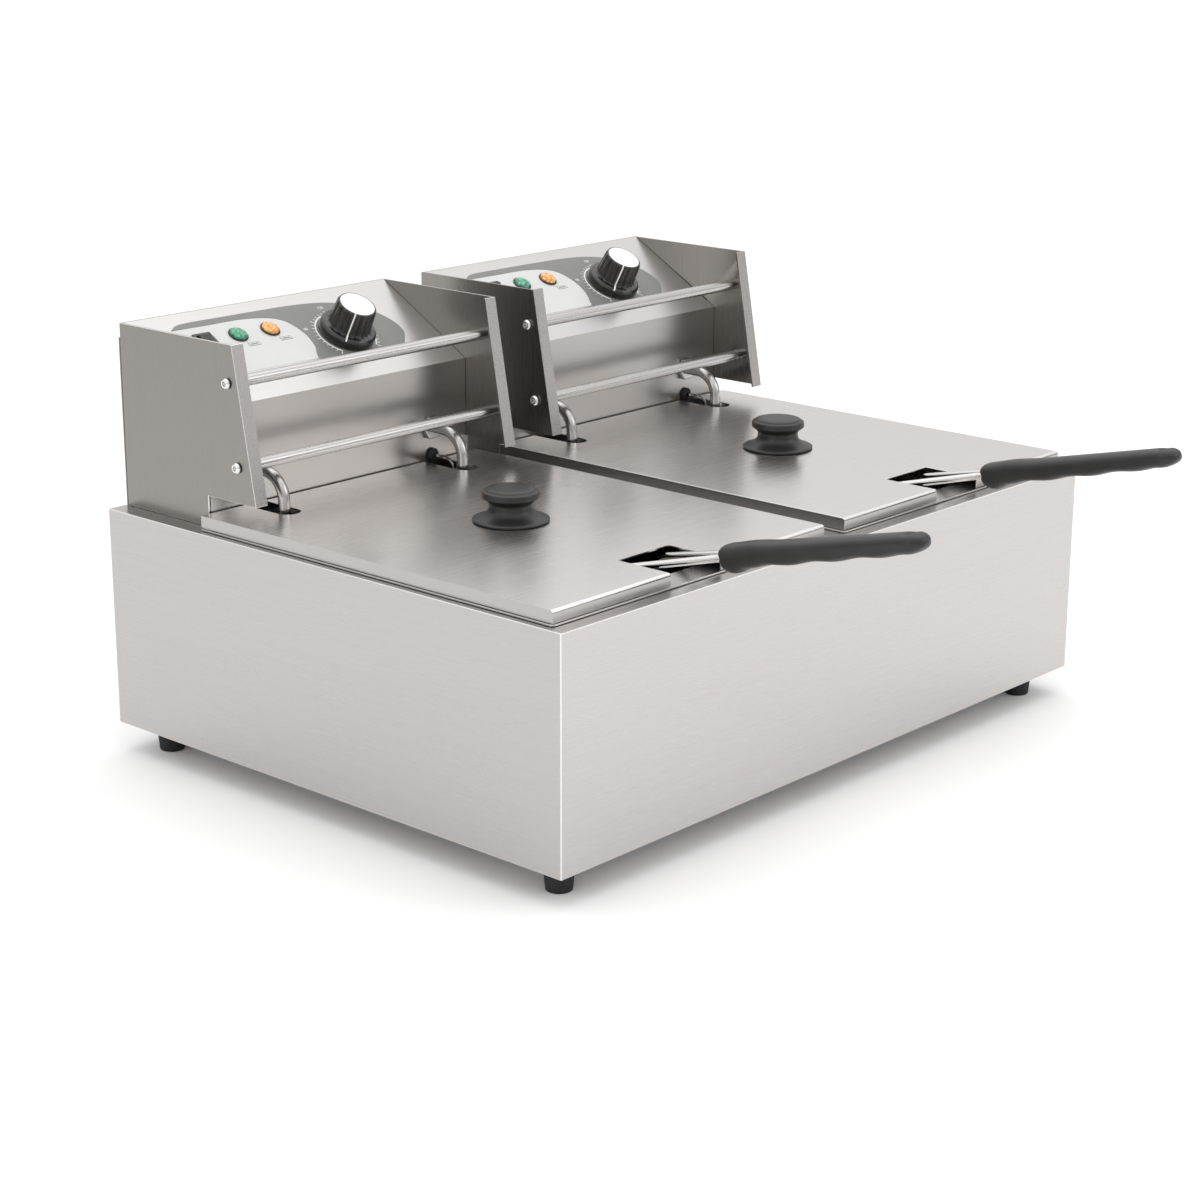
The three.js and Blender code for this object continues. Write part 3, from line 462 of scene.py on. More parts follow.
FOOT_PROFILE = eased_profile(
    [(0, 0), (8.5, 0), (10.5, 20.7), (3, 20.7), (3, 27.7), (0, 27.7)], 0.9
)
for row in ("front", "rear"):
    for hand in ("left", "right"):
        node = f"foot_{row}_{hand}"
        low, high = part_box(node)
        centre = np.array([(low.x + high.x) / 2, (low.y + high.y) / 2, low.z])
        points = turned_points(FOOT_PROFILE, 40) * MM + centre
        new_piece(
            f"{node}_rubber", points, grid_faces(*points.shape[:2]), foot_rubber,
            "casing", "rubber", (node,),
        )


# ------------------------------------------------------------------ lid knobs and grips


LID_KNOB_HEIGHT = 22.0
WAIST_RADIUS, WAIST_FLARE, WAIST_POWER = 14.6, 10.2, 3.2
WAIST_LOW, WAIST_HIGH = 1.7, 11.0
CROWN_RADIUS, CROWN_LOW, CROWN_RISE, CROWN_POWER = 16.6, 20.6, 1.4, 0.3


def lid_knob(side):
    """A mushroom knob turned from a profile: a low wide base, a waist and a crowned cap."""
    low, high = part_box(f"{side}_lid_knob")
    centre = np.array([(low.x + high.x) / 2, (low.y + high.y) / 2, high.z - LID_KNOB_HEIGHT * MM])
    rise = np.linspace(0, 1, 14)
    waist = np.stack([
        WAIST_RADIUS + WAIST_FLARE * (1 - rise) ** WAIST_POWER,
        WAIST_LOW + (WAIST_HIGH - WAIST_LOW) * rise,
    ], -1)
    crown = np.linspace(0, math.pi / 2, 9)
    cap = np.stack([
        CROWN_RADIUS * np.cos(crown) ** CROWN_POWER, CROWN_LOW + CROWN_RISE * np.sin(crown)
    ], -1)
    lower = [(0, -8.0), (3, -8.0), (3, 0), (25.0, 0), (25.5, 0.5), (25.4, 1.3)]
    shoulder = [(14.9, 12.2), (16.4, 13.8), (18.2, 15.0), (19.0, 15.9), (19.1, 18.2), (18.6, 19.6)]
    profile = np.concatenate([lower, waist, shoulder, cap])
    profile[-1, 0] = 0
    points = turned_points(profile, 72) * MM + centre
    new_piece(
        f"{side}_lid_knob_turned", points, grid_faces(*points.shape[:2]), handle_plastic,
        f"lid_{side}", "handle_plastic", (f"{side}_lid_knob",),
    )


ARM_WALL_Y = -150.8
ARM_START_Z = 3.0
GRIP_START_Y = -218.0
GRIP_LENGTH = 153.0
GRIP_SQUARENESS = 0.72
GRIP_HALF_WIDTH, GRIP_SWELL = 10.2, 0.8
GRIP_BELOW, GRIP_BELOW_TAPER = 7.9, 1.7
GRIP_ABOVE, GRIP_ABOVE_TAPER = 7.6, 1.6
FINGER_WAVES, FINGER_DEPTH = 4.5, 0.6
GUARD_DEPTH, THUMB_RISE, HOLE_DEPTH = 3.0, 0.8, 0.5
# Where each of these lies and how far it spreads, as shares of the grip's length
GUARD_PLACE, THUMB_PLACE, HOLE_PLACE = (0.075, 0.045), (0.17, 0.08), (0.925, 0.017)
FRONT_ROUNDING, TIP_ROUNDING = 0.05, 0.075
FINGERS_FROM, FINGERS_TO, FINGERS_FADE = 0.12, 0.93, 0.06
FIRST_FINGER, HOLE_HALF_WIDTH = 0.14, 0.45
ARM_SPREAD, ARM_CLOSE = 18.5, 7.0
ARM_BELOW, ARM_INSIDE_GRIP = 55.0, 20.0
ARM_WIRE_RADIUS = 2.5
ARM_BEND, ARM_GRIP_BEND = 9, 20
PLATE_NEAR, PLATE_NEAR_HALF = 14, 7.5
PLATE_FAR, PLATE_FAR_HALF = 1, 6.5
PLATE_HALF_THICKNESS = 0.7


def arm_height(y):
    """The height of the sloping handle wires above the deck at a place along Y."""
    return ARM_START_Z + (ARM_WALL_Y - y) * math.tan(HANDLE_SLOPE)


def along_handle(distance, sideways, height):
    """Points by distance along the grip's axis, sideways, and height square to the axis."""
    y = GRIP_START_Y - distance * math.cos(HANDLE_SLOPE) + height * math.sin(HANDLE_SLOPE)
    z = arm_height(GRIP_START_Y)
    z = z + distance * math.sin(HANDLE_SLOPE) + height * math.cos(HANDLE_SLOPE)
    return np.stack([sideways, y, z], -1)


def bell(t, middle, width):
    """A smooth bump of height one: the exponential of minus the squared distance over width."""
    return np.exp(-(((t - middle) / width) ** 2))


def grip(side):
    """A moulded grip: a rounded-square section whose half width and half heights are smooth
    functions of the distance along it, with soft finger waves below, rounded ends, and a hanging
    recess near the tip where the upper height dips by a bell-shaped amount."""
    t = np.linspace(0, 1, 150)
    ends = np.clip(np.minimum(t / FRONT_ROUNDING, (1 - t) / TIP_ROUNDING), 0, 1)
    ends = np.sqrt(1 - (1 - ends) ** 2)
    half_width = (GRIP_HALF_WIDTH + GRIP_SWELL * np.sin(math.pi * t)) * ends
    held = np.clip((t - FINGERS_FROM) / FINGERS_FADE, 0, 1)
    held = held * np.clip((FINGERS_TO - t) / FINGERS_FADE, 0, 1)
    fingers = FINGER_DEPTH * np.cos(TURN * FINGER_WAVES * (t - FIRST_FINGER)) * held
    guard = GUARD_DEPTH * bell(t, *GUARD_PLACE)
    thumb = THUMB_RISE * bell(t, *THUMB_PLACE)
    below = (GRIP_BELOW - GRIP_BELOW_TAPER * t + fingers + guard) * ends
    above = (GRIP_ABOVE - GRIP_ABOVE_TAPER * t + thumb) * ends
    sides = 56
    angle = np.arange(sides) / sides * TURN
    c, s = np.cos(angle), np.sin(angle)
    across = np.sign(c) * np.abs(c) ** GRIP_SQUARENESS
    upright = np.sign(s) * np.abs(s) ** GRIP_SQUARENESS
    sideways = half_width[:, None] * across
    hole = bell(t, *HOLE_PLACE)[:, None] * bell(across, 0.0, HOLE_HALF_WIDTH)
    height = np.where(
        upright > 0, above[:, None] * (1 - HOLE_DEPTH * hole), below[:, None]
    ) * upright
    distance = t[:, None] * GRIP_LENGTH + 0 * sideways
    points = in_unit(along_handle(distance, sideways, height), side)
    shape = Gather().add(points)
    return new_piece(
        f"{side}_basket_grip_moulded", *shape.all(), handle_plastic,
        f"basket_{side}", "handle_plastic", (f"{side}_basket_grip",),
    )


def handle_arms(side):
    """One bent wire: up the basket's front wall, forward into the grip, and back again, with a
    small plate between its two runs just before the grip."""
    end_y = GRIP_START_Y - ARM_INSIDE_GRIP
    low = ARM_START_Z - ARM_BELOW
    half = [
        (ARM_CLOSE, end_y, arm_height(end_y), 0),
        (ARM_CLOSE, GRIP_START_Y, arm_height(GRIP_START_Y), ARM_GRIP_BEND),
        (ARM_SPREAD, ARM_WALL_Y, ARM_START_Z, ARM_BEND),
        (ARM_SPREAD, ARM_WALL_Y, low, ARM_BEND),
    ]
    path = bent_path([(-x, y, z, bend) for x, y, z, bend in half] + half[::-1])
    shape = Gather().add(tube_points(in_unit(path, side), ARM_WIRE_RADIUS * MM, 16))
    near, far = GRIP_START_Y + PLATE_NEAR, GRIP_START_Y + PLATE_FAR
    plate = [
        (-PLATE_NEAR_HALF, near), (PLATE_NEAR_HALF, near),
        (PLATE_FAR_HALF, far), (-PLATE_FAR_HALF, far),
    ]
    layers = [
        [(x, y, arm_height(y) + lift) for x, y in plate]
        for lift in (-PLATE_HALF_THICKNESS, PLATE_HALF_THICKNESS)
    ]
    shape.add(in_unit(np.array(layers), side))
    new_piece(
        f"{side}_basket_arms_wire", *shape.all(), bright_steel,
        f"basket_{side}", "bright_wire", (f"{side}_basket_handle_arms",),
    )


# ------------------------------------------------------------------ wire basket


def rounded_ring(half_x, y0, y1, corner, z, steps=5):
    """A level rounded rectangle: four quarter circles joined by straight runs."""
    centres = [(half_x, y0, -0.25), (half_x, y1, 0), (-half_x, y1, 0.25), (-half_x, y0, 0.5)]
    points = []
    for x, y, start in centres:
        cx = x - math.copysign(corner, x)
        cy = y + corner if y == y0 else y - corner
        angle = (start + np.linspace(0, 0.25, steps)) * TURN
        points.append(np.stack([
            cx + corner * np.cos(angle), cy + corner * np.sin(angle), 0 * angle + z
        ], -1))
    return np.concatenate(points)


MESH_WIRE, RIM_WIRE = 0.75, 1.9
BASKET_CORNER, BASKET_BEND = 14, 8
BASKET_REAR = 60.0
WIRES_ACROSS, WIRES_ALONG, RINGS = 22, 24, 12
FIRST_WIRE, FIRST_RING, LAST_RING, MIDDLE_RING = 16, 12, 8, 46
HOOK_HALF, HOOK_REACH, HOOK_BEND = 28, 10, 3


def basket(side):
    """Woven from wires: U-shaped wires both ways for floor and walls, level rings round the
    walls, and a thick rim with a rear hook."""
    low, high = unit_box(f"{side}_basket", side)
    half, front, rear = high[0] - 2.0, low[1] + 2.0, BASKET_REAR
    floor, top = low[2] + 1.4, high[2] - 2.0
    shape = Gather()
    for x in np.linspace(-half + FIRST_WIRE, half - FIRST_WIRE, WIRES_ACROSS):
        path = bent_path([
            (x, front, top, 0), (x, front, floor, BASKET_BEND),
            (x, rear, floor, BASKET_BEND), (x, rear, top, 0),
        ], 3)
        shape.add(tube_points(in_unit(path, side), MESH_WIRE * MM, 4))
    for y in np.linspace(front + FIRST_WIRE, rear - FIRST_WIRE, WIRES_ALONG):
        path = bent_path([
            (-half, y, top, 0), (-half, y, floor, BASKET_BEND),
            (half, y, floor, BASKET_BEND), (half, y, top, 0),
        ], 3)
        shape.add(tube_points(in_unit(path, side), MESH_WIRE * MM, 4))
    for z in np.linspace(floor + FIRST_RING, top - LAST_RING, RINGS):
        ring = rounded_ring(half, front, rear, BASKET_CORNER, z)
        wire = tube_points(in_unit(ring, side), MESH_WIRE * MM, 4, closed=True)
        shape.add(wire, wrap_rows=True)
    for z in (top, floor + MIDDLE_RING):
        ring = rounded_ring(half, front, rear, BASKET_CORNER, z, 8)
        wire = tube_points(in_unit(ring, side), RIM_WIRE * MM, 10, closed=True)
        shape.add(wire, wrap_rows=True)
    behind, under = rear + HOOK_REACH, top - HOOK_REACH
    hook = bent_path([
        (-HOOK_HALF, rear, top, 0), (-HOOK_HALF, behind, top, HOOK_BEND),
        (-HOOK_HALF, behind, under, HOOK_BEND), (HOOK_HALF, behind, under, HOOK_BEND),
        (HOOK_HALF, behind, top, HOOK_BEND), (HOOK_HALF, rear, top, 0),
    ], 4)
    shape.add(tube_points(in_unit(hook, side), RIM_WIRE * MM, 10))
    new_piece(
        f"{side}_basket_wires", *shape.all(), bright_steel,
        f"basket_{side}", "bright_wire", (f"{side}_basket",),
    )


for side in UNITS:
    lid_knob(side)
    grip(side)
    handle_arms(side)
    basket(side)


# ------------------------------------------------------------------ rack rods and their screws


def along_x(profile_points, x, y, z, hand, side):
    """Turned points laid along X: the profile's height runs outwards from x."""
    radial, turned, out = (profile_points[..., i] for i in range(3))
    return in_unit(np.stack([out * hand + x, turned + y, radial + z], -1), side)


ROD_RADIUS, ROD_CHAMFER = 4.0, 0.6


def rods(side):
    """Plain bars with a small chamfer at each end, and socket-head screws in the plates."""
    for place in ("upper", "lower"):
        node = f"{side}_rack_rod_{place}"
        low, high = unit_box(node, side)
        y, z = (low[1] + high[1]) / 2, (low[2] + high[2]) / 2
        half = (high[0] - low[0]) / 2
        tip = ROD_RADIUS - ROD_CHAMFER
        profile = [
            (0, 0), (tip, 0), (ROD_RADIUS, ROD_CHAMFER),
            (ROD_RADIUS, 2 * half - ROD_CHAMFER), (tip, 2 * half), (0, 2 * half),
        ]
        points = along_x(turned_points(profile, 32), -half, y, z, 1, side)
        new_piece(
            f"{node}_bar", points, grid_faces(*points.shape[:2]), rod_steel,
            f"head_{side}", "bright_wire", (node,),
        )
        for name, hand in (("left", -1), ("right", 1)):
            screw = f"{side}_rod_screw_{place}_{name}"
            low, high = unit_box(screw, side)
            reach = max(abs(high[0]), abs(low[0]))
            radius = (high[2] - low[2]) / 2
            head = eased_profile([
                (0, -2.6), (1.6, -2.6), (1.6, -1.6), (1.6, 0), (radius * 0.72, 0),
                (radius, -1.3), (radius, -2.3), (2, -2.3), (2, -14), (0, -14),
            ][::-1], 0.25)
            points = along_x(turned_points(head, 36), hand * reach, y, z, hand, side)
            new_piece(
                f"{screw}_socket", points, grid_faces(*points.shape[:2]), bright_steel,
                f"head_{side}", "bright_wire", (screw,),
            )


# ------------------------------------------------------------------ heater, capillary, gland


HEATER_RADIUS = 4.0
HEATER_LEG_Y, HEATER_EXIT_Z, HEATER_INSIDE_Y = 88.0, 34.0, 142.0
COIL_FRONT, COIL_REAR, COIL_RUNS = -135, 50, 6
LEG_TOP_BEND, LEG_FOOT_BEND = 18, 13


def heater(side):
    """One smooth tube: out of the fascia, down, six runs along the tank's floor, and back up."""
    floor = unit_box(f"{side}_heating_element", side)[0][2] + HEATER_RADIUS
    pitch = 2 * HEATER_SPREAD / (COIL_RUNS - 1)
    leg = [
        (HEATER_INSIDE_Y, HEATER_EXIT_Z, 0),
        (HEATER_LEG_Y, HEATER_EXIT_Z, LEG_TOP_BEND),
        (HEATER_LEG_Y, floor, LEG_FOOT_BEND),
    ]
    route = [(-HEATER_SPREAD, *place) for place in leg]
    for run in range(COIL_RUNS):
        x = -HEATER_SPREAD + run * pitch
        start, end = (COIL_REAR, COIL_FRONT) if run % 2 == 0 else (COIL_FRONT, COIL_REAR)
        if run > 0:
            route.append((x, start, floor, pitch / 2))
        if run < COIL_RUNS - 1:
            route.append((x, end, floor, pitch / 2))
    route += [(HEATER_SPREAD, *place) for place in leg[::-1]]
    shape = Gather().add(tube_points(in_unit(bent_path(route), side), HEATER_RADIUS * MM, 18))
    for x in (-HEATER_SPREAD, HEATER_SPREAD):
        nut = turned_points(
            [(4.02, 0), (8.2, 0), (9.0, 0.6), (9.0, 3.4), (8.2, 4), (4.02, 4)], 6
        )
        laid = np.stack([
            nut[..., 0] + x, PANEL_FRONT - 4.3 + nut[..., 2], nut[..., 1] + HEATER_EXIT_Z
        ], -1)
        shape.add(in_unit(laid, side), wrap_rows=True)
    new_piece(
        f"{side}_heater_tube", *shape.all(), heater_steel,
        f"head_{side}", "bright_wire", (f"{side}_heating_element",),
    )


for side in UNITS:
    rods(side)
    heater(side)
    painted(f"{side}_thermostat_capillary", bright_steel)
    painted(f"{side}_capillary_grommet", foot_rubber)
    painted(f"{side}_cable_gland", knob_plastic)


# ------------------------------------------------------------------ control panel

KNOB_ACROSS, KNOB_UP = 41.0, -1.5
DIAL_START, DIAL_SWEEP = math.radians(225), math.radians(270)
DIAL_LOW, DIAL_HIGH = 0.19, 0.26
RING_INNER, RING_OUTER = 22.0, 23.1
TICK_INNER, TICK_LONG, TICK_SHORT, TICK_HALF_WIDTH = 23.4, 26.4, 25.2, 0.28
NUMBER_SIZE, NUMBER_HALF_THICKNESS, NUMBER_MIDDLE = 3.6, 0.035, 0.225
DIAL_TICKS, DIAL_NUMBERS, NUMBER_RADIUS = 31, ("60", "90", "120", "150", "190"), 30.4
PRINT_THICKNESS = 0.1
LAMP_ACROSS, LAMP_UP = {"green": -43.5, "amber": -15.0}, 16.5
LENS_RADIUS = 6.3
LABEL_SHIFT, LABEL_UP, LABEL_THICKNESS = 6.0, 5.4, 0.08


def smooth_line(corners, count):
    """A smooth line through its corners: cubic Hermite pieces whose slope at a corner is half the
    step from the corner before it to the one after it."""
    p = np.asarray(corners, float)
    slope = np.gradient(p, axis=0)
    at = np.linspace(0, len(p) - 1, count)
    i = np.minimum(at.astype(int), len(p) - 2)
    t = (at - i)[:, None]
    return (
        (2 * t**3 - 3 * t**2 + 1) * p[i] + (t**3 - 2 * t**2 + t) * slope[i]
        + (3 * t**2 - 2 * t**3) * p[i + 1] + (t**3 - t**2) * slope[i + 1]
    )


def film(side, name, one_edge, other_edge, finish, lift):
    """A thin print on the panel: straight lines between two smooth edges, given a thickness."""
    a, b = smooth_line(one_edge, 90)[None], smooth_line(other_edge, 90)[None]
    v = np.linspace(0, 1, 9)[:, None, None]
    flat = a + (b - a) * v
    low = on_panel(np.concatenate([flat, 0 * flat[..., :1] + lift], -1), side)
    high = on_panel(
        np.concatenate([flat, 0 * flat[..., :1] + lift + PRINT_THICKNESS], -1), side
    )
    rows, cols = flat.shape[:2]
    count = rows * cols
    faces = grid_faces(rows, cols, wrap_cols=False)
    under = [[v + count for v in face[::-1]] for face in faces]
    rim = np.concatenate([
        np.arange(cols), np.arange(1, rows) * cols + cols - 1,
        (rows - 1) * cols + np.arange(cols - 2, -1, -1), np.arange(rows - 2, 0, -1) * cols,
    ])
    after = np.roll(rim, -1)
    edge = np.stack([rim, after, after + count, rim + count], -1).tolist()
    points = np.concatenate([high.reshape(-1, 3), low.reshape(-1, 3)])
    new_piece(name, points, faces + under + edge, finish, f"head_{side}", "black_plastic")


def panel_prints(side):
    """A grey print that opens from a slim tail into a round body about the knob, and a pale one
    under the lamps, each between two smooth edges (across, up the slope)."""
    film(
        side, f"{side}_panel_print",
        [(-90, 31.6), (-60, 31.6), (-24, 31.2), (0, 25), (8.6, 10), (8, -6), (2, -20), (20, -29),
         (48, -30), (70, -27)],
        [(-90, 32.4), (-79, 36.8), (-44, 37.2), (-7, 37.2), (26, 36.5), (52, 33), (74, 24),
         (88, 8), (91, -8), (82, -21)],
        panel_print, 0.06,
    )
    film(
        side, f"{side}_panel_print_pale",
        [(-100, 30.6), (-60, 30.6), (-24, 30.2), (-1, 24.2), (7.5, 9.8), (6.9, -6), (1, -19.4)],
        [(-100, -20), (-80, -20), (-60, -20), (-40, -20), (-24, -20), (-12, -20), (-1, -20)],
        panel_pale, 0.05,
    )


def lamp_labels(side):
    """A small framed bar under each lamp, where the label marks are: a grey plate, a pale one on
    it and a grey dash on top, each a thin slab."""
    for name, half_x, half_y, low, finish in (
        ("frame", 5.0, 1.8, 0.14, panel_print),
        ("field", 4.5, 1.35, 0.20, panel_pale),
        ("dash", 3.4, 0.5, 0.26, panel_print),
    ):
        shape = Gather()
        for across in LAMP_ACROSS.values():
            ring = np.array([(-1, -1), (1, -1), (1, 1), (-1, 1)]) * (half_x, half_y)
            flat = ring + (across + LABEL_SHIFT, LABEL_UP)
            levels = (low, low + LABEL_THICKNESS)
            layers = [np.column_stack([flat, np.full(4, z)]) for z in levels]
            shape.add(on_panel(np.stack(layers), side))
        new_piece(
            f"{side}_lamp_labels_{name}", *shape.all(), finish, f"head_{side}", "black_plastic"
        )


def dial_marks(side):
    """A ring line, radial tick bars and plain numbers round the knob, clockwise from the low
    stop."""
    shape = Gather()
    turn = DIAL_START - DIAL_SWEEP * np.linspace(0, 1, 96)[:, None]
    section = np.array([
        (RING_INNER, DIAL_LOW), (RING_OUTER, DIAL_LOW),
        (RING_OUTER, DIAL_HIGH), (RING_INNER, DIAL_HIGH),
    ])
    ring = np.stack([
        KNOB_ACROSS + section[:, 0] * np.cos(turn), KNOB_UP + section[:, 0] * np.sin(turn),
        section[:, 1] + 0 * turn,
    ], -1)
    shape.add(on_panel(ring, side))
    for i in range(DIAL_TICKS):
        angle = DIAL_START - DIAL_SWEEP * i / (DIAL_TICKS - 1)
        radial = np.array([math.cos(angle), math.sin(angle)])
        tangent = np.array([-radial[1], radial[0]])
        start, end = radial * TICK_INNER, radial * (TICK_LONG if i % 5 == 0 else TICK_SHORT)
        aside = tangent * TICK_HALF_WIDTH
        corners = [start - aside, end - aside, end + aside, start + aside]
        flat = np.array([[c[0] + KNOB_ACROSS, c[1] + KNOB_UP] for c in corners])
        layers = [np.column_stack([flat, np.full(4, z)]) for z in (DIAL_LOW, DIAL_HIGH)]
        shape.add(on_panel(np.stack(layers), side))
    points, faces = shape.all()
    points, faces, count = [points], list(faces), len(points)
    for i, label in enumerate(DIAL_NUMBERS):
        angle = DIAL_START - DIAL_SWEEP * i / (len(DIAL_NUMBERS) - 1)
        text = bpy.data.curves.new("dial_number", "FONT")
        text.body, text.size, text.extrude = label, NUMBER_SIZE, NUMBER_HALF_THICKNESS
        text.align_x, text.align_y = "CENTER", "CENTER"
        holder = bpy.data.objects.new("dial_number", text)
        bpy.context.scene.collection.objects.link(holder)
        bpy.context.view_layer.update()
        mesh = bpy.data.meshes.new_from_object(holder)
        flat = np.zeros(len(mesh.vertices) * 3)
        mesh.vertices.foreach_get("co", flat)
        flat = flat.reshape(-1, 3)
        flat += [
            KNOB_ACROSS + NUMBER_RADIUS * math.cos(angle),
            KNOB_UP + NUMBER_RADIUS * math.sin(angle), NUMBER_MIDDLE,
        ]
        faces += [[count + v for v in polygon.vertices] for polygon in mesh.polygons]
        points.append(on_panel(flat, side))
        count += len(flat)
        bpy.data.objects.remove(holder)
        bpy.data.meshes.remove(mesh)
        bpy.data.curves.remove(text)
    new_piece(
        f"{side}_dial_marks", np.concatenate(points), faces, print_white,
        f"head_{side}", "handle_plastic",
    )


FLUTES, FLUTE_DEPTH = 16, 0.075
FLUTED_BEYOND, FLUTED_ABOVE = 13.5, 8
KNOB_SIDES = 160
CAP_RADIUS, CAP_FOOT, CAP_EDGE, CAP_CROWN = 12.9, 25.9, 26.0, 0.95
POINTER_HALF_WIDTH, POINTER_DEPTH, POINTER_LIFT, POINTER_LEAN = 0.55, 0.7, 0.18, 0.6


def thermostat_knob(side):
    """A fluted knob: the radius is a profile of height times 1 less a cubed cosine of 16 angles on
    the body, above a plain skirt. A white cap closes the top, with a raised pointer bar."""
    profile = eased_profile([
        (3.4, 21), (3.4, 1), (20, 1), (20.5, 1.8), (20.5, 6.4), (19, 8), (15.9, 8.5), (15.4, 9.6),
        (14.3, 25), (13.4, 26.2), (0, 26.2),
    ], 0.5)
    points = turned_points(profile, KNOB_SIDES)
    height = profile[:, 1][:, None]
    angle = np.arange(KNOB_SIDES)[None, :] / KNOB_SIDES * TURN
    outside = (profile[:, 0][:, None] > FLUTED_BEYOND) & (height > FLUTED_ABOVE)
    flutes = 1 - FLUTE_DEPTH * (0.5 + 0.5 * np.cos(FLUTES * angle)) ** 3 * outside
    points[..., :2] *= flutes[..., None]
    points[..., 0] += KNOB_ACROSS
    points[..., 1] += KNOB_UP
    placed = on_panel(points, side)
    new_piece(
        f"{side}_thermostat_knob_body", placed, grid_faces(*placed.shape[:2]), knob_plastic,
        f"knob_{side}", "black_plastic", (f"{side}_thermostat_knob",),
    )
    crown = np.linspace(0, 1, 8)
    cap = np.stack([CAP_RADIUS * np.sqrt(1 - crown**2), CAP_EDGE + CAP_CROWN * crown], -1)
    cap = np.concatenate([[(0, CAP_FOOT), (CAP_RADIUS, CAP_FOOT)], cap])
    cap[-1, 0] = 0
    top = turned_points(cap, 64)
    top[..., 0] += KNOB_ACROSS
    top[..., 1] += KNOB_UP
    shape = Gather().add(on_panel(top, side), capped=False)
    new_piece(
        f"{side}_thermostat_knob_cap", *shape.all(), knob_cap_white,
        f"knob_{side}", "handle_plastic",
    )
    direction = np.array([math.cos(DIAL_START), math.sin(DIAL_START)])
    across = np.array([-direction[1], direction[0]])
    line = ((13.1, 26.4), (14.5, 24.6), (15.55, 9.3), (19.0, 8.15), (20.4, 6.9))
    flat = np.array([
        [*(direction * radius + across * half + (KNOB_ACROSS, KNOB_UP)), z]
        for half in (-POINTER_HALF_WIDTH, POINTER_HALF_WIDTH) for radius, z in line
    ]).reshape(2, len(line), 3)
    outward = np.append(direction, POINTER_LEAN)
    inside = flat - outward * POINTER_DEPTH
    ring = np.stack([flat[0], flat[1], inside[1], inside[0]], 1)
    ring[:, :2] += outward * POINTER_LIFT
    new_piece(
        f"{side}_thermostat_pointer", *Gather().add(on_panel(ring, side)).all(), print_white,
        f"knob_{side}", "handle_plastic",
    )


LENS_EDGE, LENS_RISE, LENS_SIDES = 1.5, 2.5, 80
FACET_DEPTH, FACETED_ABOVE = 0.22, 1.6


def lamp(side, name, finish, slot):
    """A domed lens in a dark collar: the dome's height carries a small cosine of 10 angles that
    fades out at the middle and at the edge."""
    dome = np.linspace(0, math.pi / 2, 12)
    lens = np.stack([LENS_RADIUS * np.cos(dome), LENS_EDGE + LENS_RISE * np.sin(dome)], -1)
    body = [(0, -24), (4.4, -24), (5, -23.4), (5, 0.5), (LENS_RADIUS, 0.5)]
    profile = np.concatenate([body, lens])
    profile[-1, 0] = 0
    points = turned_points(profile, LENS_SIDES)
    reach = np.hypot(points[..., 0], points[..., 1]) / LENS_RADIUS
    angle = np.arange(LENS_SIDES) / LENS_SIDES * TURN
    facets = FACET_DEPTH * np.abs(np.cos(5 * angle)) * np.clip(4 * reach * (1 - reach), 0, 1)
    points[..., 2] -= facets * (points[..., 2] > FACETED_ABOVE)
    collar = turned_points(
        [(6.4, 0.3), (7.2, 0.3), (7.3, 0.7), (7.1, 1.2), (6.6, 1.5), (6.4, 1.3)], 56
    )
    for shape, wrap, piece, use, stands in (
        (points, False, "lens", finish, (f"{side}_lamp_{name}",)),
        (collar, True, "collar", knob_plastic, ()),
    ):
        shape = shape + np.array([LAMP_ACROSS[name], LAMP_UP, 0])
        placed = on_panel(shape, side)
        new_piece(
            f"{side}_lamp_{name}_{piece}", placed, grid_faces(*placed.shape[:2], wrap_rows=wrap),
            use, f"head_{side}", slot if piece == "lens" else "black_plastic", stands,
        )


for side in UNITS:
    panel_prints(side)
    lamp_labels(side)
    dial_marks(side)
    thermostat_knob(side)
    lamp(side, "green", green_lens, "green_lens")
    lamp(side, "amber", amber_lens, "amber_lens")
    softened(f"{side}_switch_housing", 0.5, knob_plastic, f"head_{side}")
    softened(f"{side}_switch_rocker", 0.6, knob_plastic, f"rocker_{side}")


# ------------------------------------------------------------------ floor, light and camera

floor_mesh = bpy.data.meshes.new("floor")
FLOOR_REACH = 30.0
floor_corners = [
    (x * FLOOR_REACH, y * FLOOR_REACH, 0) for x, y in ((-1, -1), (1, -1), (1, 1), (-1, 1))
]
floor_mesh.from_pydata(floor_corners, [], [(0, 1, 2, 3)])
floor = bpy.data.objects.new("floor", floor_mesh)
bpy.context.scene.collection.objects.link(floor)
floor_mesh.materials.append(Finish("pale_floor", (0.965, 0.965, 0.965), roughness=0.9).material)

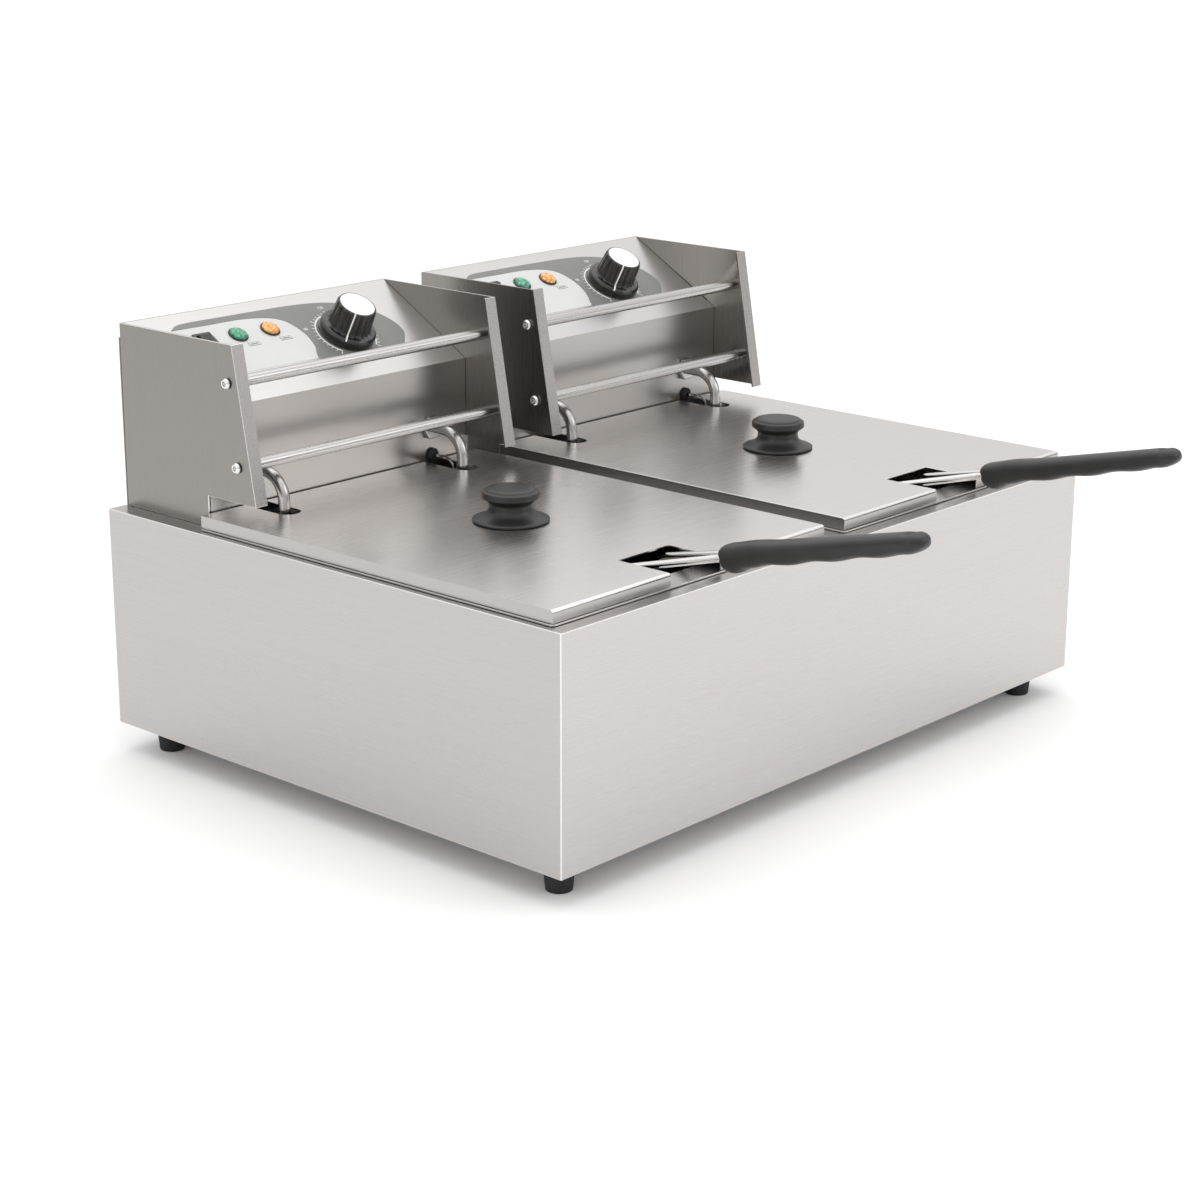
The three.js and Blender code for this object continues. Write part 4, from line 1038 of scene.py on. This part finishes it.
world = bpy.data.worlds.new("studio")
bpy.context.scene.world = world
world.use_nodes = True
sky = world.node_tree.nodes["Background"]
direction = world.node_tree.nodes.new("ShaderNodeTexCoord")
height = world.node_tree.nodes.new("ShaderNodeSeparateXYZ")
ramp = world.node_tree.nodes.new("ShaderNodeValToRGB")
STUDIO = ((0.0, 0.46), (0.20, 0.56), (0.34, 0.72), (0.65, 0.95), (1.0, 1.0))
while len(ramp.color_ramp.elements) < len(STUDIO):
    ramp.color_ramp.elements.new(0.5)
for element, (position, level) in zip(ramp.color_ramp.elements, STUDIO):
    element.position = position
    element.color = (level, level, level, 1)
world.node_tree.links.new(direction.outputs["Generated"], height.inputs["Vector"])
world.node_tree.links.new(height.outputs["Z"], ramp.inputs["Fac"])
world.node_tree.links.new(ramp.outputs["Color"], sky.inputs["Color"])
sky.inputs["Strength"].default_value = 1.22


def softbox(name, place, target, size, watts):
    """A rectangular area light at a place, turned to face its target."""
    light = bpy.data.lights.new(name, "AREA")
    light.shape, light.size, light.size_y, light.energy = "RECTANGLE", size[0], size[1], watts
    holder = bpy.data.objects.new(name, light)
    bpy.context.scene.collection.objects.link(holder)
    facing = (Vector(target) - Vector(place)).to_track_quat("-Z", "Y").to_matrix().to_4x4()
    holder.matrix_world = Matrix.Translation(place) @ facing


softbox("over", (0.2, 0.2, 2.2), (0, 0, 0.1), (2.4, 2.4), 12)
softbox("front", (1.6, -2.4, 1.5), (0, 0, 0.15), (1.6, 1.2), 10)
softbox("left", (-2.6, -0.2, 1.2), (0, 0, 0.15), (1.2, 1.4), 5)

bpy.context.scene.view_settings.view_transform = "Standard"

SENSOR_WIDTH, LENS_LENGTH = 36, 76.54
EYE_X, EYE_BEFORE_MIDDLE, EYE_HEIGHT = -1.2954, 1.1572, 0.6121
AZIMUTH, ELEVATION, ROLL = (math.radians(a) for a in (-48.022, 16.737, 0.151))
level = math.cos(ELEVATION)
forward = Vector((
    -math.sin(AZIMUTH) * level, math.cos(AZIMUTH) * level, -math.sin(ELEVATION)
))
right = forward.cross(Vector((0, 0, 1))).normalized()
up = right.cross(forward)
right, up = (
    right * math.cos(ROLL) + up * math.sin(ROLL), up * math.cos(ROLL) - right * math.sin(ROLL)
)
camera = bpy.data.cameras.new("camera")
camera.sensor_width, camera.lens = SENSOR_WIDTH, LENS_LENGTH
eye = bpy.data.objects.new("camera", camera)
bpy.context.scene.collection.objects.link(eye)
turn = Matrix((right, up, -forward)).transposed().to_4x4()
eye.matrix_world = Matrix.Translation((EYE_X, MIDDLE_Y - EYE_BEFORE_MIDDLE, EYE_HEIGHT)) @ turn
bpy.context.scene.camera = eye
